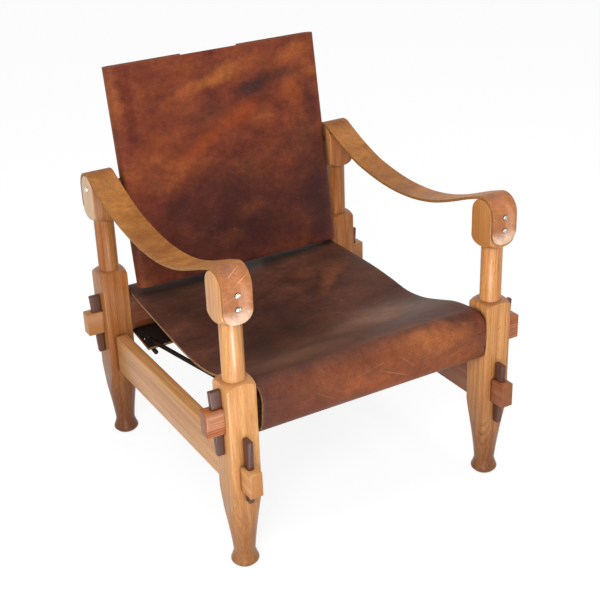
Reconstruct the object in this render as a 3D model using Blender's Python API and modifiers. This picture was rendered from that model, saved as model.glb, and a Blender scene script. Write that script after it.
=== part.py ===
"""Campaign chair: a knock-down oak frame with slung saddle leather.

Four posts are turned from square blanks. Every rail passes right through its
posts as a long tenon, and a loose wedge through each tenon end draws the joint
tight, so that the chair comes apart without tools. The seat is one sheet of
saddle leather wrapped round both cross rails and laced to itself underneath.
The back is a second sheet, laced round two hidden stiles that swing on bolts
through the rear posts. Two leather straps make the arms.

Metres, +Z up. +X runs from the front left post to the front right one, +Y is
backward, and the origin lies on the floor in the middle of the four posts.
"""

import math

import bmesh
import bpy
from mathutils import Matrix, Vector

# Fits and cuts
FIT = 0.0003
OVERRUN = 0.004
WELD = 0.00001

# Where the posts stand, from axis to axis
POSTS_ACROSS = 0.486
POSTS_DEEP = 0.486

# Posts
POST_SIDE = 0.050
POST_EDGE = 0.002
SOLE_RADIUS = 0.018
BULB_RADIUS = 0.023
BULB_Z = 0.0065
ANKLE_RADIUS = 0.0176
ANKLE_Z = 0.024
LEG_SWELL_TOP = 0.158
SHOULDER_ROUND = 0.020
DOWEL_FOOT = 0.3384
DOWEL_RADIUS = 0.018
HEAD_NECK_DROP = 0.0567
BOWL_HEIGHT = 0.0185
HEAD_Z = 0.4945
LEG_SWELL_POWER = 1.25
POST_STEPS = 28

# Rails and their through tenons
TENON_HEIGHT = 0.042
TENON_THICKNESS = 0.022
TENON_EDGE = 0.0025
CROSS_TENON_Z = 0.275
REAR_RAIL_DROP = 0.035
CROSS_TENON_PROUD = 0.031
CROSS_RAIL_HEIGHT = 0.080
CROSS_RAIL_THICKNESS = 0.046
CROSS_RAIL_ROUND = 0.022
CROSS_RAIL_LIFT = 0.0067
SIDE_RAIL_Z = 0.175
SIDE_TENON_PROUD = 0.032
SIDE_RAIL_HEIGHT = 0.073
SIDE_RAIL_THICKNESS = 0.022
RAIL_EDGE = 0.0012

# Wedges
WEDGE_LENGTH = 0.114
WEDGE_THICKNESS = 0.009
WEDGE_TOP_WIDTH = 0.019
WEDGE_FOOT_WIDTH = 0.0117
WEDGE_RISE = 0.052
PROUD_WEDGE_RISE = 0.019
WEDGE_EDGE = 0.0015
SLOT_RELIEF = 0.003

# Seat leather
SEAT_LEATHER = 0.0047
SEAT_SIDE_GAP = 0.006
SEAT_SAG_LEFT = 0.050
SEAT_SAG_RIGHT = 0.030
SEAT_SAG_LEFT_SHARES = (0.26, 0.45, 0.62, 0.80, 0.94, 1.00, 0.94, 0.74, 0.33)
SEAT_SAG_RIGHT_SHARES = (0.09, 0.23, 0.34, 0.48, 0.70, 0.97, 0.90, 0.55, 0.12)
SEAT_HUG_LEFT = math.radians(22)
SEAT_HUG_RIGHT = math.radians(5)
SEAT_NOSE_ROUND = 0.027
SEAT_FLAP_REACH = 0.075
REAR_FLAP_DROP = 0.0085
FRONT_FLAP_DROP = 0.019
SEAT_COLUMNS = 5

# Lacing of the seat and of the back
LACE_RADIUS = 0.0042
LACE_TAIL = 0.008
SEAT_HOLE_INSET = 0.032
SEAT_HOLE_MARGIN = 0.012
SEAT_CROSSINGS = 6
BACK_HOLE_INSET = 0.022
BACK_HOLE_MARGIN = 0.0295
BACK_CROSSINGS = 8

# Back leather, its stiles and its pivot
BACK_TILT = math.radians(9.3)
BACK_LEATHER = 0.004
BACK_ABOVE_PIVOT = 0.202
BACK_BELOW_PIVOT = 0.197
BACK_LEFT_GAP = 0.015
BACK_RIGHT_GAP = 0.0025
BACK_HOLLOW = 0.003
BACK_GAP = 0.114
STILE_THICKNESS = 0.020
STILE_WIDTH = 0.032
STILE_ROUND = 0.0085
STILE_INSET = 0.004
BOLT_RADIUS = 0.003
BOLT_HEAD_RADIUS = 0.0052
BOLT_HEAD_HEIGHT = 0.0034
BOLT_REACH = 0.022
SPACER_RADIUS = 0.008

# Arm straps
STRAP_LEATHER = 0.0044
STRAP_WIDTH = 0.049
STRAP_END_DROP = 0.0545
STRAP_RIGHT_RISE = 0.0065
STRAP_TIP_ROUND = 0.021
STRAP_SAG = 0.062
STRAP_FRONT_HUG = math.radians(20)
STRAP_REAR_HUG = math.radians(24)
STRAP_PLACE_SHARES = (0.078, 0.148, 0.216, 0.294, 0.385, 0.465, 0.543, 0.619, 0.70, 0.767, 0.846, 0.912)
STRAP_SAG_SHARES = (0.19, 0.42, 0.63, 0.81, 0.94, 0.99, 0.99, 0.94, 0.84, 0.725, 0.505, 0.285)

# Strap screws and their cup washers
SCREW_UPPER_DROP = 0.0083
SCREW_LOWER_DROP = 0.0308
SCREW_RADIUS = 0.0017
SCREW_HEAD_RADIUS = 0.0031
SCREW_CROWN = 0.0006
SCREW_LENGTH = 0.019
SCREW_SLOT = 0.0009
SCREW_SLOT_DEPTH = 0.0007
WASHER_RADIUS = 0.0043
WASHER_HEIGHT = 0.0014
WASHER_LIP = 0.0005
SMALL_STEPS = 12

# Colours as red, green, blue, then roughness and metallic
FINISHES = {
    "oak": ((0.62, 0.36, 0.13), 0.45, 0.0),
    "dark_wedge_wood": ((0.13, 0.045, 0.03), 0.5, 0.0),
    "seat_leather": ((0.13, 0.045, 0.025), 0.4, 0.0),
    "back_leather": ((0.20, 0.06, 0.025), 0.4, 0.0),
    "strap_leather": ((0.45, 0.21, 0.08), 0.5, 0.0),
    "lace_leather": ((0.025, 0.015, 0.012), 0.6, 0.0),
    "nickel": ((0.65, 0.62, 0.57), 0.3, 1.0),
}

# Derived places
POST_X = POSTS_ACROSS / 2
POST_Y = POSTS_DEEP / 2
POST_HALF = POST_SIDE / 2
INNER_FACE_X = POST_X - POST_HALF
OUTER_FACE_X = POST_X + POST_HALF
OUTER_FACE_Y = POST_Y + POST_HALF
POST_CORNER = POST_HALF * math.sqrt(2)
HEAD_TOP = HEAD_Z + POST_HALF
CROSS_RAIL_HALF = CROSS_RAIL_THICKNESS / 2
SEAT_HALF = INNER_FACE_X - SEAT_SIDE_GAP
BACK_HALF = INNER_FACE_X - (BACK_LEFT_GAP + BACK_RIGHT_GAP) / 2
BACK_MIDDLE_X = (BACK_LEFT_GAP - BACK_RIGHT_GAP) / 2
PIVOT_Z = HEAD_Z
DOWEL_TOP = HEAD_Z - HEAD_NECK_DROP
STILE_HALF = STILE_THICKNESS / 2
LACE_LOOP = SEAT_LEATHER / 2 + LACE_RADIUS + FIT
BACK_LACE_LOOP = BACK_LEATHER / 2 + LACE_RADIUS + FIT
CORNERS = {
    "front_left": (-1, -1),
    "front_right": (1, -1),
    "rear_left": (-1, 1),
    "rear_right": (1, 1),
}


# Tools

def start_scene():
    """Empty the scene and make the collections of parts and cutters."""
    for old in list(bpy.data.objects):
        bpy.data.objects.remove(old)
    for name in ("campaign_chair", "cutters"):
        fresh = bpy.data.collections.new(name)
        bpy.context.scene.collection.children.link(fresh)


def make_materials():
    """Make one Principled material for each finish."""
    for name, (colour, roughness, metallic) in FINISHES.items():
        material = bpy.data.materials.new(name)
        material.use_nodes = True
        shader = material.node_tree.nodes["Principled BSDF"]
        shader.inputs["Base Color"].default_value = (*colour, 1.0)
        shader.inputs["Roughness"].default_value = roughness
        shader.inputs["Metallic"].default_value = metallic


def place(name, mesh, finish=None):
    """Link a mesh as a part of the chair, or as a cutter if it has no finish."""
    thing = bpy.data.objects.new(name, mesh)
    if finish:
        mesh.materials.append(bpy.data.materials[finish])
        bpy.data.collections["campaign_chair"].objects.link(thing)
        return thing
    bpy.data.collections["cutters"].objects.link(thing)
    thing.hide_render = True
    thing.display_type = "WIRE"
    return thing


def mesh_from(name, bm):
    """Turn a bmesh into a mesh."""
    bmesh.ops.recalc_face_normals(bm, faces=bm.faces)
    mesh = bpy.data.meshes.new(name)
    bm.to_mesh(mesh)
    bm.free()
    return mesh


def block(name, low, high, finish=None):
    """A box between two corners."""
    low, high = Vector(low), Vector(high)
    bm = bmesh.new()
    bmesh.ops.create_cube(bm, size=1)
    bmesh.ops.scale(bm, verts=bm.verts, vec=high - low)
    bmesh.ops.translate(bm, verts=bm.verts, vec=(low + high) / 2)
    return place(name, mesh_from(name, bm), finish)


def rod(name, start, end, radius, steps, finish=None):
    """A cylinder from one point to another."""
    start, end = Vector(start), Vector(end)
    line = end - start
    bm = bmesh.new()
    bmesh.ops.create_cone(bm, cap_ends=True, segments=steps, radius1=radius, radius2=radius,
                          depth=line.length)
    turn = line.to_track_quat("Z", "Y").to_matrix().to_4x4()
    bmesh.ops.transform(bm, verts=bm.verts, matrix=Matrix.Translation((start + end) / 2) @ turn)
    return place(name, mesh_from(name, bm), finish)


def turned(name, profile, steps, finish=None):
    """A turned shape from (radius, height) points that run down its outer side."""
    mesh = bpy.data.meshes.new(name)
    points = [(radius, 0.0, height) for radius, height in profile]
    mesh.from_pydata(points, [(i, i + 1) for i in range(len(points) - 1)], [])
    thing = place(name, mesh, finish)
    screw = thing.modifiers.new("turn", "SCREW")
    screw.steps = steps
    screw.render_steps = steps
    screw.use_merge_vertices = True
    screw.merge_threshold = WELD
    screw.use_smooth_shade = False
    return thing


def cut_out(name, points, thickness, finish=None):
    """A flat outline of (y, z) points, extruded along X about x = 0."""
    curve = bpy.data.curves.new(name, "CURVE")
    curve.dimensions = "2D"
    curve.fill_mode = "BOTH"
    curve.extrude = thickness / 2
    spline = curve.splines.new("POLY")
    spline.points.add(len(points) - 1)
    for point, (y, z) in zip(spline.points, points):
        point.co = (y, z, 0.0, 1)
    spline.use_cyclic_u = True
    outline = bpy.data.objects.new(name, curve)
    bpy.context.scene.collection.objects.link(outline)
    upright = Matrix(((0, 0, 1, 0), (1, 0, 0, 0), (0, 1, 0, 0), (0, 0, 0, 1)))
    mesh = mesh_of(outline)
    mesh.transform(upright)
    return place(name, mesh, finish)


def mesh_of(curve_object):
    """The welded mesh of a curve object, which is then removed."""
    graph = bpy.context.evaluated_depsgraph_get()
    graph.update()
    mesh = bpy.data.meshes.new_from_object(curve_object.evaluated_get(graph))
    bpy.data.objects.remove(curve_object)
    bm = bmesh.new()
    bm.from_mesh(mesh)
    bmesh.ops.remove_doubles(bm, verts=bm.verts, dist=WELD)
    bmesh.ops.recalc_face_normals(bm, faces=bm.faces)
    bm.to_mesh(mesh)
    bm.free()
    return mesh


def tube(name, points, radius, finish):
    """A round cord along a list of points."""
    curve = bpy.data.curves.new(name, "CURVE")
    curve.dimensions = "3D"
    curve.bevel_depth = radius
    curve.bevel_resolution = 1
    curve.use_fill_caps = True
    spline = curve.splines.new("POLY")
    spline.points.add(len(points) - 1)
    for point, where in zip(spline.points, points):
        point.co = (*where, 1)
    cord = bpy.data.objects.new(name, curve)
    bpy.context.scene.collection.objects.link(cord)
    return place(name, mesh_of(cord), finish)


def soften(thing, width, segments=1, angle=math.radians(40)):
    """Round the sharp edges of a part."""
    bevel = thing.modifiers.new("soften", "BEVEL")
    bevel.width = width
    bevel.segments = segments
    bevel.limit_method = "ANGLE"
    bevel.angle_limit = angle


def combine(thing, tool, operation):
    """Cut, join or intersect a part with another shape."""
    boolean = thing.modifiers.new(operation.lower() + "_" + tool.name, "BOOLEAN")
    boolean.operation = operation
    boolean.object = tool


def arc(centre, radius, start, end, count, high=None):
    """Points on an arc, or on an ellipse if it has a second radius."""
    high = high or radius
    angles = [start + (end - start) * i / count for i in range(count + 1)]
    return [(centre[0] + radius * math.cos(a), centre[1] + high * math.sin(a)) for a in angles]


def smooth(points, count):
    """A smooth curve through points, with a number of steps between each two."""
    points = [Vector(point) for point in points]
    ends = [points[0] * 2 - points[1], *points, points[-1] * 2 - points[-2]]
    path = []
    for i in range(1, len(ends) - 2):
        before, start, end, after = ends[i - 1:i + 3]
        for step in range(count):
            t = step / count
            path.append(start + ((end - before) * t
                                 + (before * 2 - start * 5 + end * 4 - after) * t * t
                                 + (start * 3 - before - end * 3 + after) * t ** 3) / 2)
    return path + [points[-1]]


def sheet(name, rows, thickness, finish):
    """A sheet of leather whose inner side is a grid of rows of points."""
    bm = bmesh.new()
    grid = [[bm.verts.new(point) for point in row] for row in rows]
    for row, following in zip(grid, grid[1:]):
        for a, b, c, d in zip(row, row[1:], following[1:], following):
            bm.faces.new((a, b, c, d))
    mesh = bpy.data.meshes.new(name)
    bm.to_mesh(mesh)
    bm.free()
    thing = place(name, mesh, finish)
    solid = thing.modifiers.new("thickness", "SOLIDIFY")
    solid.thickness = thickness
    solid.offset = -1
    solid.use_even_offset = True
    return thing


# Posts

def leg_profile():
    """The turned outline of a post, from the top down: radius and height."""
    clear = POST_CORNER + OVERRUN
    bowl_z = DOWEL_TOP + BOWL_HEIGHT
    bowl = arc((DOWEL_RADIUS, bowl_z), POST_CORNER - DOWEL_RADIUS, 0.0, -math.pi / 2, 6, BOWL_HEIGHT)
    shoulder_z = DOWEL_FOOT - SHOULDER_ROUND
    shoulder = arc((DOWEL_RADIUS, shoulder_z), SHOULDER_ROUND, math.pi / 2, 0.0, 6)
    swell = []
    for step in range(9, 0, -1):
        share = step / 9
        radius = ANKLE_RADIUS + (POST_CORNER + POST_EDGE - ANKLE_RADIUS) * share ** LEG_SWELL_POWER
        swell.append((radius, ANKLE_Z + (LEG_SWELL_TOP - ANKLE_Z) * share))
    bulb = smooth([(ANKLE_RADIUS, ANKLE_Z),
                   ((ANKLE_RADIUS + BULB_RADIUS) / 2, (ANKLE_Z + BULB_Z) / 2),
                   (BULB_RADIUS, BULB_Z),
                   (SOLE_RADIUS, 0.0)], 3)
    return [(0.0, HEAD_TOP + OVERRUN), (clear, HEAD_TOP + OVERRUN), (clear, bowl_z), *bowl,
            *shoulder, (clear, shoulder_z), (clear, LEG_SWELL_TOP), *swell,
            *[tuple(point) for point in bulb], (0.0, 0.0)]


def make_post(corner, leg):
    """One post: a square blank with a round top, turned and mortised."""
    side, end = CORNERS[corner]
    name = "post_" + corner
    blank = [(-POST_HALF, 0.0), (POST_HALF, 0.0)]
    blank += arc((0.0, HEAD_Z), POST_HALF, 0.0, math.pi, 14)
    post = cut_out(name, blank, POST_SIDE, "oak")
    post.location = (side * POST_X, end * POST_Y, 0.0)
    soften(post, POST_EDGE)
    turning = leg.copy()
    turning.name = "turning_" + corner
    bpy.data.collections["cutters"].objects.link(turning)
    turning.location = post.location
    combine(post, turning, "INTERSECT")
    for mortise in mortises(corner, side, end):
        combine(post, mortise, "DIFFERENCE")
    return post


def mortises(corner, side, end):
    """The cutters of a post: two through mortises, the screw holes and the pivot hole."""
    x, y = side * POST_X, end * POST_Y
    reach = POST_HALF + OVERRUN
    cross = Vector((reach, TENON_THICKNESS / 2 + FIT, TENON_HEIGHT / 2 + FIT))
    along = Vector((SIDE_RAIL_THICKNESS / 2 + FIT, reach, TENON_HEIGHT / 2 + FIT))
    cross_at = Vector((x, y, cross_tenon_z(end)))
    along_at = Vector((x, y, SIDE_RAIL_Z))
    cutters = [block("cross_mortise_" + corner, cross_at - cross, cross_at + cross),
               block("side_mortise_" + corner, along_at - along, along_at + along)]
    for place_name, z in zip(("upper", "lower"), screw_heights(side)):
        face = y + end * (POST_HALF + OVERRUN)
        bottom = y + end * (POST_HALF - screw_bite() - FIT)
        cutters.append(rod("screw_hole_" + corner + "_" + place_name, (x, face, z), (x, bottom, z),
                           SCREW_RADIUS + FIT, SMALL_STEPS))
    if end > 0:
        cutters.append(rod("pivot_hole_" + corner, (x - reach, y, PIVOT_Z), (x + reach, y, PIVOT_Z),
                           BOLT_RADIUS + FIT, SMALL_STEPS))
    return cutters


def cross_tenon_z(end):
    """The height of a cross rail's tenon: the rear rail lies lower."""
    return CROSS_TENON_Z if end < 0 else CROSS_TENON_Z - REAR_RAIL_DROP


def strap_rise(side):
    """How much higher a strap's ends and screws sit: the right strap was screwed on higher."""
    return STRAP_RIGHT_RISE if side > 0 else 0.0


def screw_heights(side):
    """The heights of the upper and the lower strap screw on one side of the chair."""
    middle = HEAD_Z + strap_rise(side)
    return middle - SCREW_UPPER_DROP, middle - SCREW_LOWER_DROP


def screw_bite():
    """How deep a strap screw goes into the wood."""
    return SCREW_LENGTH - STRAP_LEATHER


# Wedges and the slots that they pass through

def wedge_width(above_tenon, rise):
    """The width of a wedge at a height above its tenon's middle."""
    foot = WEDGE_RISE + rise - WEDGE_LENGTH
    taper = (WEDGE_TOP_WIDTH - WEDGE_FOOT_WIDTH) / WEDGE_LENGTH
    return WEDGE_FOOT_WIDTH + (above_tenon - foot) * taper


def wedge_place(corner, rail):
    """Where a wedge stands: its face on the post, its tenon's height and its turn."""
    side, end = CORNERS[corner]
    if rail == "cross":
        return Vector((side * OUTER_FACE_X, end * POST_Y, cross_tenon_z(end))), math.radians(-90 * side)
    return Vector((side * POST_X, end * OUTER_FACE_Y, SIDE_RAIL_Z)), math.radians(90 - 90 * end)


def make_wedge(corner, rail):
    """One wedge, upright against its post's outer face."""
    rise = PROUD_WEDGE_RISE if (corner, rail) == ("front_left", "side") else 0.0
    top = WEDGE_RISE + rise
    foot = top - WEDGE_LENGTH
    outline = [(FIT, foot), (FIT + WEDGE_FOOT_WIDTH, foot), (FIT + WEDGE_TOP_WIDTH, top), (FIT, top)]
    wedge = cut_out("wedge_" + corner + "_" + rail, outline, WEDGE_THICKNESS, "dark_wedge_wood")
    soften(wedge, WEDGE_EDGE)
    wedge.location, turn = wedge_place(corner, rail)
    wedge.rotation_euler.z = turn
    return wedge


def wedge_slot(corner, rail):
    """The cutter of a wedge's slot, which starts inside the post's face."""
    rise = PROUD_WEDGE_RISE if (corner, rail) == ("front_left", "side") else 0.0
    reach = TENON_HEIGHT / 2 + OVERRUN
    outline = [(-SLOT_RELIEF, -reach), (FIT * 2 + wedge_width(-reach, rise), -reach),
               (FIT * 2 + wedge_width(reach, rise), reach), (-SLOT_RELIEF, reach)]
    slot = cut_out("slot_" + corner + "_" + rail, outline, WEDGE_THICKNESS + FIT * 2)
    slot.location, turn = wedge_place(corner, rail)
    slot.rotation_euler.z = turn
    return slot


# Rails

def tenon_bar(name, middle, half):
    """The bar that runs right through a rail and makes both its tenons, eased at the tips."""
    bar = block(name, middle - half, middle + half, "oak")
    long_way = 0 if half.x > half.y else 1
    bevel_edges(bar.data, TENON_EDGE, 2, lambda edge: abs(edge[long_way]) == 0)
    return bar


def bevel_edges(mesh, width, segments, wanted):
    """Bevel the edges of a box whose direction passes a test."""
    bm = bmesh.new()
    bm.from_mesh(mesh)
    edges = [e for e in bm.edges if wanted(e.verts[1].co - e.verts[0].co)]
    bmesh.ops.bevel(bm, geom=edges, offset=width, segments=segments, profile=0.5, affect="EDGES")
    bm.to_mesh(mesh)
    bm.free()


def make_cross_rail(name, end):
    """A thick rail with rounded long edges, with a thinner tenon at each end."""
    y, tenon_z = end * POST_Y, cross_tenon_z(end)
    half = Vector((OUTER_FACE_X + CROSS_TENON_PROUD, TENON_THICKNESS / 2, TENON_HEIGHT / 2))
    rail = tenon_bar("cross_rail_" + name, Vector((0.0, y, tenon_z)), half)
    body = Vector((INNER_FACE_X - FIT, CROSS_RAIL_HALF, CROSS_RAIL_HEIGHT / 2))
    centre = Vector((0.0, y, tenon_z + CROSS_RAIL_LIFT))
    beam = block("cross_rail_body_" + name, centre - body, centre + body)
    bevel_edges(beam.data, CROSS_RAIL_ROUND, 6, lambda edge: edge.y == 0 and edge.z == 0)
    combine(rail, beam, "UNION")
    for corner, (_, corner_end) in CORNERS.items():
        if corner_end == end:
            combine(rail, wedge_slot(corner, "cross"), "DIFFERENCE")


def make_side_rail(name, side):
    """A board on edge, as thick as the tenons at its ends."""
    centre = Vector((side * POST_X, 0.0, SIDE_RAIL_Z))
    half = Vector((SIDE_RAIL_THICKNESS / 2, OUTER_FACE_Y + SIDE_TENON_PROUD, TENON_HEIGHT / 2))
    rail = tenon_bar("side_rail_" + name, centre, half)
    body = Vector((SIDE_RAIL_THICKNESS / 2, POST_Y - POST_HALF - FIT, SIDE_RAIL_HEIGHT / 2))
    board = block("side_rail_body_" + name, centre - body, centre + body)
    bevel_edges(board.data, RAIL_EDGE, 1, lambda edge: edge.x == 0 and edge.z == 0)
    combine(rail, board, "UNION")
    for corner, (corner_side, _) in CORNERS.items():
        if corner_side == side:
            combine(rail, wedge_slot(corner, "side"), "DIFFERENCE")


# Seat

def seat_side(sag, shares, hug):
    """The inner side of the seat leather at one edge, as (y, z) from flap to flap."""
    wrap = CROSS_RAIL_ROUND + FIT
    inset = CROSS_RAIL_HALF - CROSS_RAIL_ROUND
    drop = CROSS_RAIL_HEIGHT / 2 - CROSS_RAIL_ROUND
    rear_z = cross_tenon_z(1) + CROSS_RAIL_LIFT
    front_z = cross_tenon_z(-1) + CROSS_RAIL_LIFT
    quarter = math.pi / 2
    rear = arc((POST_Y + inset, rear_z - drop), wrap, -quarter, 0.0, 5)
    rear += arc((POST_Y + inset, rear_z + drop), wrap, 0.0, quarter, 5)
    rear += arc((POST_Y - inset, rear_z + drop), wrap, quarter, quarter + hug / 2, 2)
    front = arc((inset - POST_Y, front_z + drop), wrap, quarter - hug, quarter, 3)
    nose_z = front[-1][1] - SEAT_NOSE_ROUND
    front += arc((-POST_Y, nose_z), SEAT_NOSE_ROUND, quarter, math.pi, 6)
    front += arc((-POST_Y - inset, front_z - drop), wrap, math.pi, math.pi + quarter, 5)
    rear_edge = (POST_Y - SEAT_FLAP_REACH, rear[0][1] - REAR_FLAP_DROP)
    front_edge = (SEAT_FLAP_REACH - POST_Y, front[-1][1] - FRONT_FLAP_DROP)
    start, end = Vector(rear[-1]), Vector(front[0])
    span = [start]
    for number, share in enumerate(shares, 1):
        span.append(start.lerp(end, number / (len(shares) + 1)) - Vector((0.0, sag * share)))
    span.append(end)
    return [rear_edge, *rear[:-1], *[tuple(point) for point in smooth(span, 2)], *front[1:], front_edge]


def make_seat():
    """The seat leather, a ruled sheet from the left edge's line to the right one's."""
    left = seat_side(SEAT_SAG_LEFT, SEAT_SAG_LEFT_SHARES, SEAT_HUG_LEFT)
    right = seat_side(SEAT_SAG_RIGHT, SEAT_SAG_RIGHT_SHARES, SEAT_HUG_RIGHT)
    rows = []
    for left_point, right_point in zip(left, right):
        ends = Vector((-SEAT_HALF, *left_point)), Vector((SEAT_HALF, *right_point))
        rows.append([ends[0].lerp(ends[1], i / (SEAT_COLUMNS - 1)) for i in range(SEAT_COLUMNS)])
    seat = sheet("seat_leather", rows, SEAT_LEATHER, "seat_leather")
    flaps = (flap_frame(left[0], left[1], SEAT_LEATHER), flap_frame(left[-1], left[-2], SEAT_LEATHER))
    gap = (flaps[0][0] - flaps[1][0]).length
    holes = lace_holes(SEAT_CROSSINGS, SEAT_HOLE_MARGIN - SEAT_HALF, SEAT_HALF - SEAT_HOLE_MARGIN)
    slope = (holes[1] - holes[0]) / (gap + SEAT_HOLE_INSET * 2)
    route = []
    for number, along in enumerate(holes):
        edge, out, inward = flaps[number % 2]
        hole = edge - out * SEAT_HOLE_INSET + Vector((along, 0, 0))
        through = inward * (SEAT_LEATHER + OVERRUN)
        cutter = rod("seat_lace_hole_" + str(number), hole - through, hole + through, LACE_LOOP,
                     SMALL_STEPS)
        combine(seat, cutter, "DIFFERENCE")
        route += lace_turn(hole, out, inward, Vector((slope, 0, 0)), LACE_LOOP, SEAT_HOLE_INSET,
                           number == 0, number == SEAT_CROSSINGS)
    tube("seat_lace", route, LACE_RADIUS, "lace_leather")


def flap_frame(edge, root, leather):
    """A flap's edge in the middle of its thickness, its outward line and its inner normal."""
    edge, root = Vector((0, *edge)), Vector((0, *root))
    out = (edge - root).normalized()
    inward = Vector((0, -out.z, out.y))
    if inward.z < 0:
        inward.negate()
    return edge - inward * leather / 2, out, inward


def lace_holes(crossings, low, high):
    """The holes' places along the flaps, which alternate from one flap to the other."""
    return [low + (high - low) * number / crossings for number in range(crossings + 1)]


def lace_turn(hole, out, inward, drift, loop, inset, first, last):
    """The lace at one hole: in beneath the flap, up through it and back over its edge."""
    points = []
    if first:
        points.append(hole + out * (inset + LACE_TAIL) - inward * loop)
        points.append(hole + out * inset / 2 - inward * loop)
    else:
        points.append(hole + out * inset - inward * loop - drift * inset)
    for number in range(9):
        angle = -math.pi / 2 - math.pi * number / 8
        turn = out * (loop + loop * math.cos(angle)) + inward * loop * math.sin(angle)
        points.append(hole + turn + drift * loop * math.sin(angle))
    if last:
        points.append(hole + out * inset / 2 + inward * loop)
        points.append(hole + out * (inset + LACE_TAIL) + inward * loop)
    else:
        points.append(hole + out * inset + inward * loop + drift * inset)
    return points


# Back

def back_frame():
    """The place of the swinging back: its origin lies on the pivot's line."""
    return Matrix.Translation((BACK_MIDDLE_X, POST_Y, PIVOT_Z)) @ Matrix.Rotation(-BACK_TILT, 4, "X")


def back_line():
    """The inner side of the back leather seen from above, as (x, y) about the pivot."""
    side = BACK_HALF - BACK_LEATHER
    depth = STILE_HALF + FIT
    round_off = STILE_ROUND + FIT
    rear = arc((side - round_off, depth - round_off), round_off, math.pi / 2, 0.0, 4)
    front = arc((side - round_off, -depth + round_off), round_off, 0.0, -math.pi / 2, 4)
    half = [(BACK_GAP / 2, depth), *rear, *front]
    field = side - STILE_WIDTH - FIT * 2
    for share in (1.0, 0.8, 0.5, 0.25):
        hollow = BACK_HOLLOW * (1 - share * share)
        half.append((field * share, -depth + hollow))
    middle = [(0.0, -depth + BACK_HOLLOW)]
    return half + middle + [(-x, y) for x, y in reversed(half)]


def make_back():
    """The back leather, wrapped round both stiles and laced behind."""
    frame = back_frame()
    low, high = -BACK_BELOW_PIVOT, BACK_ABOVE_PIVOT
    line = back_line()
    rows = [[(x, y, z) for x, y in line] for z in (low, (low + high) / 2, high)]
    leather = sheet("back_leather", rows, BACK_LEATHER, "back_leather")
    leather.matrix_world = frame
    bore = rod("back_pivot_holes", (-BACK_HALF - OVERRUN, 0.0, 0.0), (BACK_HALF + OVERRUN, 0.0, 0.0),
               BOLT_RADIUS + FIT, SMALL_STEPS)
    bore.matrix_world = frame
    combine(leather, bore, "DIFFERENCE")
    route = []
    holes = lace_holes(BACK_CROSSINGS, low + BACK_HOLE_MARGIN, high - BACK_HOLE_MARGIN)
    slope = (holes[1] - holes[0]) / (BACK_GAP + BACK_HOLE_INSET * 2)
    depth = STILE_HALF + FIT + BACK_LEATHER / 2
    for number, along in enumerate(holes):
        side = 1 if number % 2 else -1
        hole = Vector((side * (BACK_GAP / 2 + BACK_HOLE_INSET), depth, along))
        through = Vector((0.0, BACK_LEATHER + OVERRUN, 0.0))
        cutter = rod("back_lace_hole_" + str(number), hole - through, hole + through,
                     BACK_LACE_LOOP, SMALL_STEPS)
        cutter.matrix_world = frame @ cutter.matrix_world
        combine(leather, cutter, "DIFFERENCE")
        route += lace_turn(hole, Vector((-side, 0, 0)), Vector((0, -1, 0)), Vector((0, 0, slope)),
                           BACK_LACE_LOOP, BACK_HOLE_INSET, number == 0, number == BACK_CROSSINGS)
    lace = tube("back_lace", route, LACE_RADIUS, "lace_leather")
    lace.matrix_world = frame


def make_stile(name, side):
    """A hidden upright in the side of the back, bored for its pivot bolt."""
    outer = BACK_HALF - BACK_LEATHER - FIT
    x_low, x_high = sorted((side * outer, side * (outer - STILE_WIDTH)))
    low = (x_low, -STILE_HALF, STILE_INSET - BACK_BELOW_PIVOT)
    high = (x_high, STILE_HALF, BACK_ABOVE_PIVOT - STILE_INSET)
    stile = block("back_stile_" + name, low, high, "oak")
    stile.matrix_world = back_frame()
    soften(stile, STILE_ROUND, 3)
    bore = rod("stile_bore_" + name, (side * (outer + OVERRUN), 0.0, 0.0),
               (side * (outer - BOLT_REACH - FIT), 0.0, 0.0), BOLT_RADIUS + FIT, SMALL_STEPS)
    bore.matrix_world = back_frame()
    combine(stile, bore, "DIFFERENCE")


def make_pivot(name, side):
    """A domed bolt through the rear post into the stile, and the spacer round it."""
    back_side = BACK_HALF + side * BACK_MIDDLE_X
    tip = back_side - BACK_LEATHER - FIT - BOLT_REACH
    length = OUTER_FACE_X - tip
    dome = arc((0.0, FIT), BOLT_HEAD_RADIUS, math.pi / 2, 0.0, 4, BOLT_HEAD_HEIGHT)
    bolt = turned("pivot_bolt_" + name, [*dome, (BOLT_RADIUS, FIT), (BOLT_RADIUS, -length),
                                         (0.0, -length)], SMALL_STEPS, "nickel")
    bolt.location = (side * OUTER_FACE_X, POST_Y, PIVOT_Z)
    bolt.rotation_euler.y = side * math.pi / 2
    inner, outer = back_side + FIT, INNER_FACE_X - FIT
    ring = [(SPACER_RADIUS, outer), (SPACER_RADIUS, inner), (BOLT_RADIUS + FIT, inner),
            (BOLT_RADIUS + FIT, outer), (SPACER_RADIUS, outer)]
    spacer = turned("pivot_spacer_" + name, ring, SMALL_STEPS, "lace_leather")
    spacer.location = (0.0, POST_Y, PIVOT_Z)
    spacer.rotation_euler.y = side * math.pi / 2


# Arm straps and their screws

def strap_line():
    """The under side of an arm strap as (y, z), from the front end to the rear one."""
    wrap = POST_HALF + FIT
    front = arc((-POST_Y, HEAD_Z), wrap, math.pi, math.pi / 2 - STRAP_FRONT_HUG, 9)
    rear = arc((POST_Y, HEAD_Z), wrap, math.pi / 2 + STRAP_REAR_HUG, 0.0, 7)
    span = [front[-1]]
    for place_share, sag_share in zip(STRAP_PLACE_SHARES, STRAP_SAG_SHARES):
        span.append((POSTS_DEEP * place_share - POST_Y, HEAD_TOP + FIT - STRAP_SAG * sag_share))
    span.append(rear[0])
    span = [tuple(point) for point in smooth(span, 2)]
    return front[:-1] + span + rear[1:]


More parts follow.
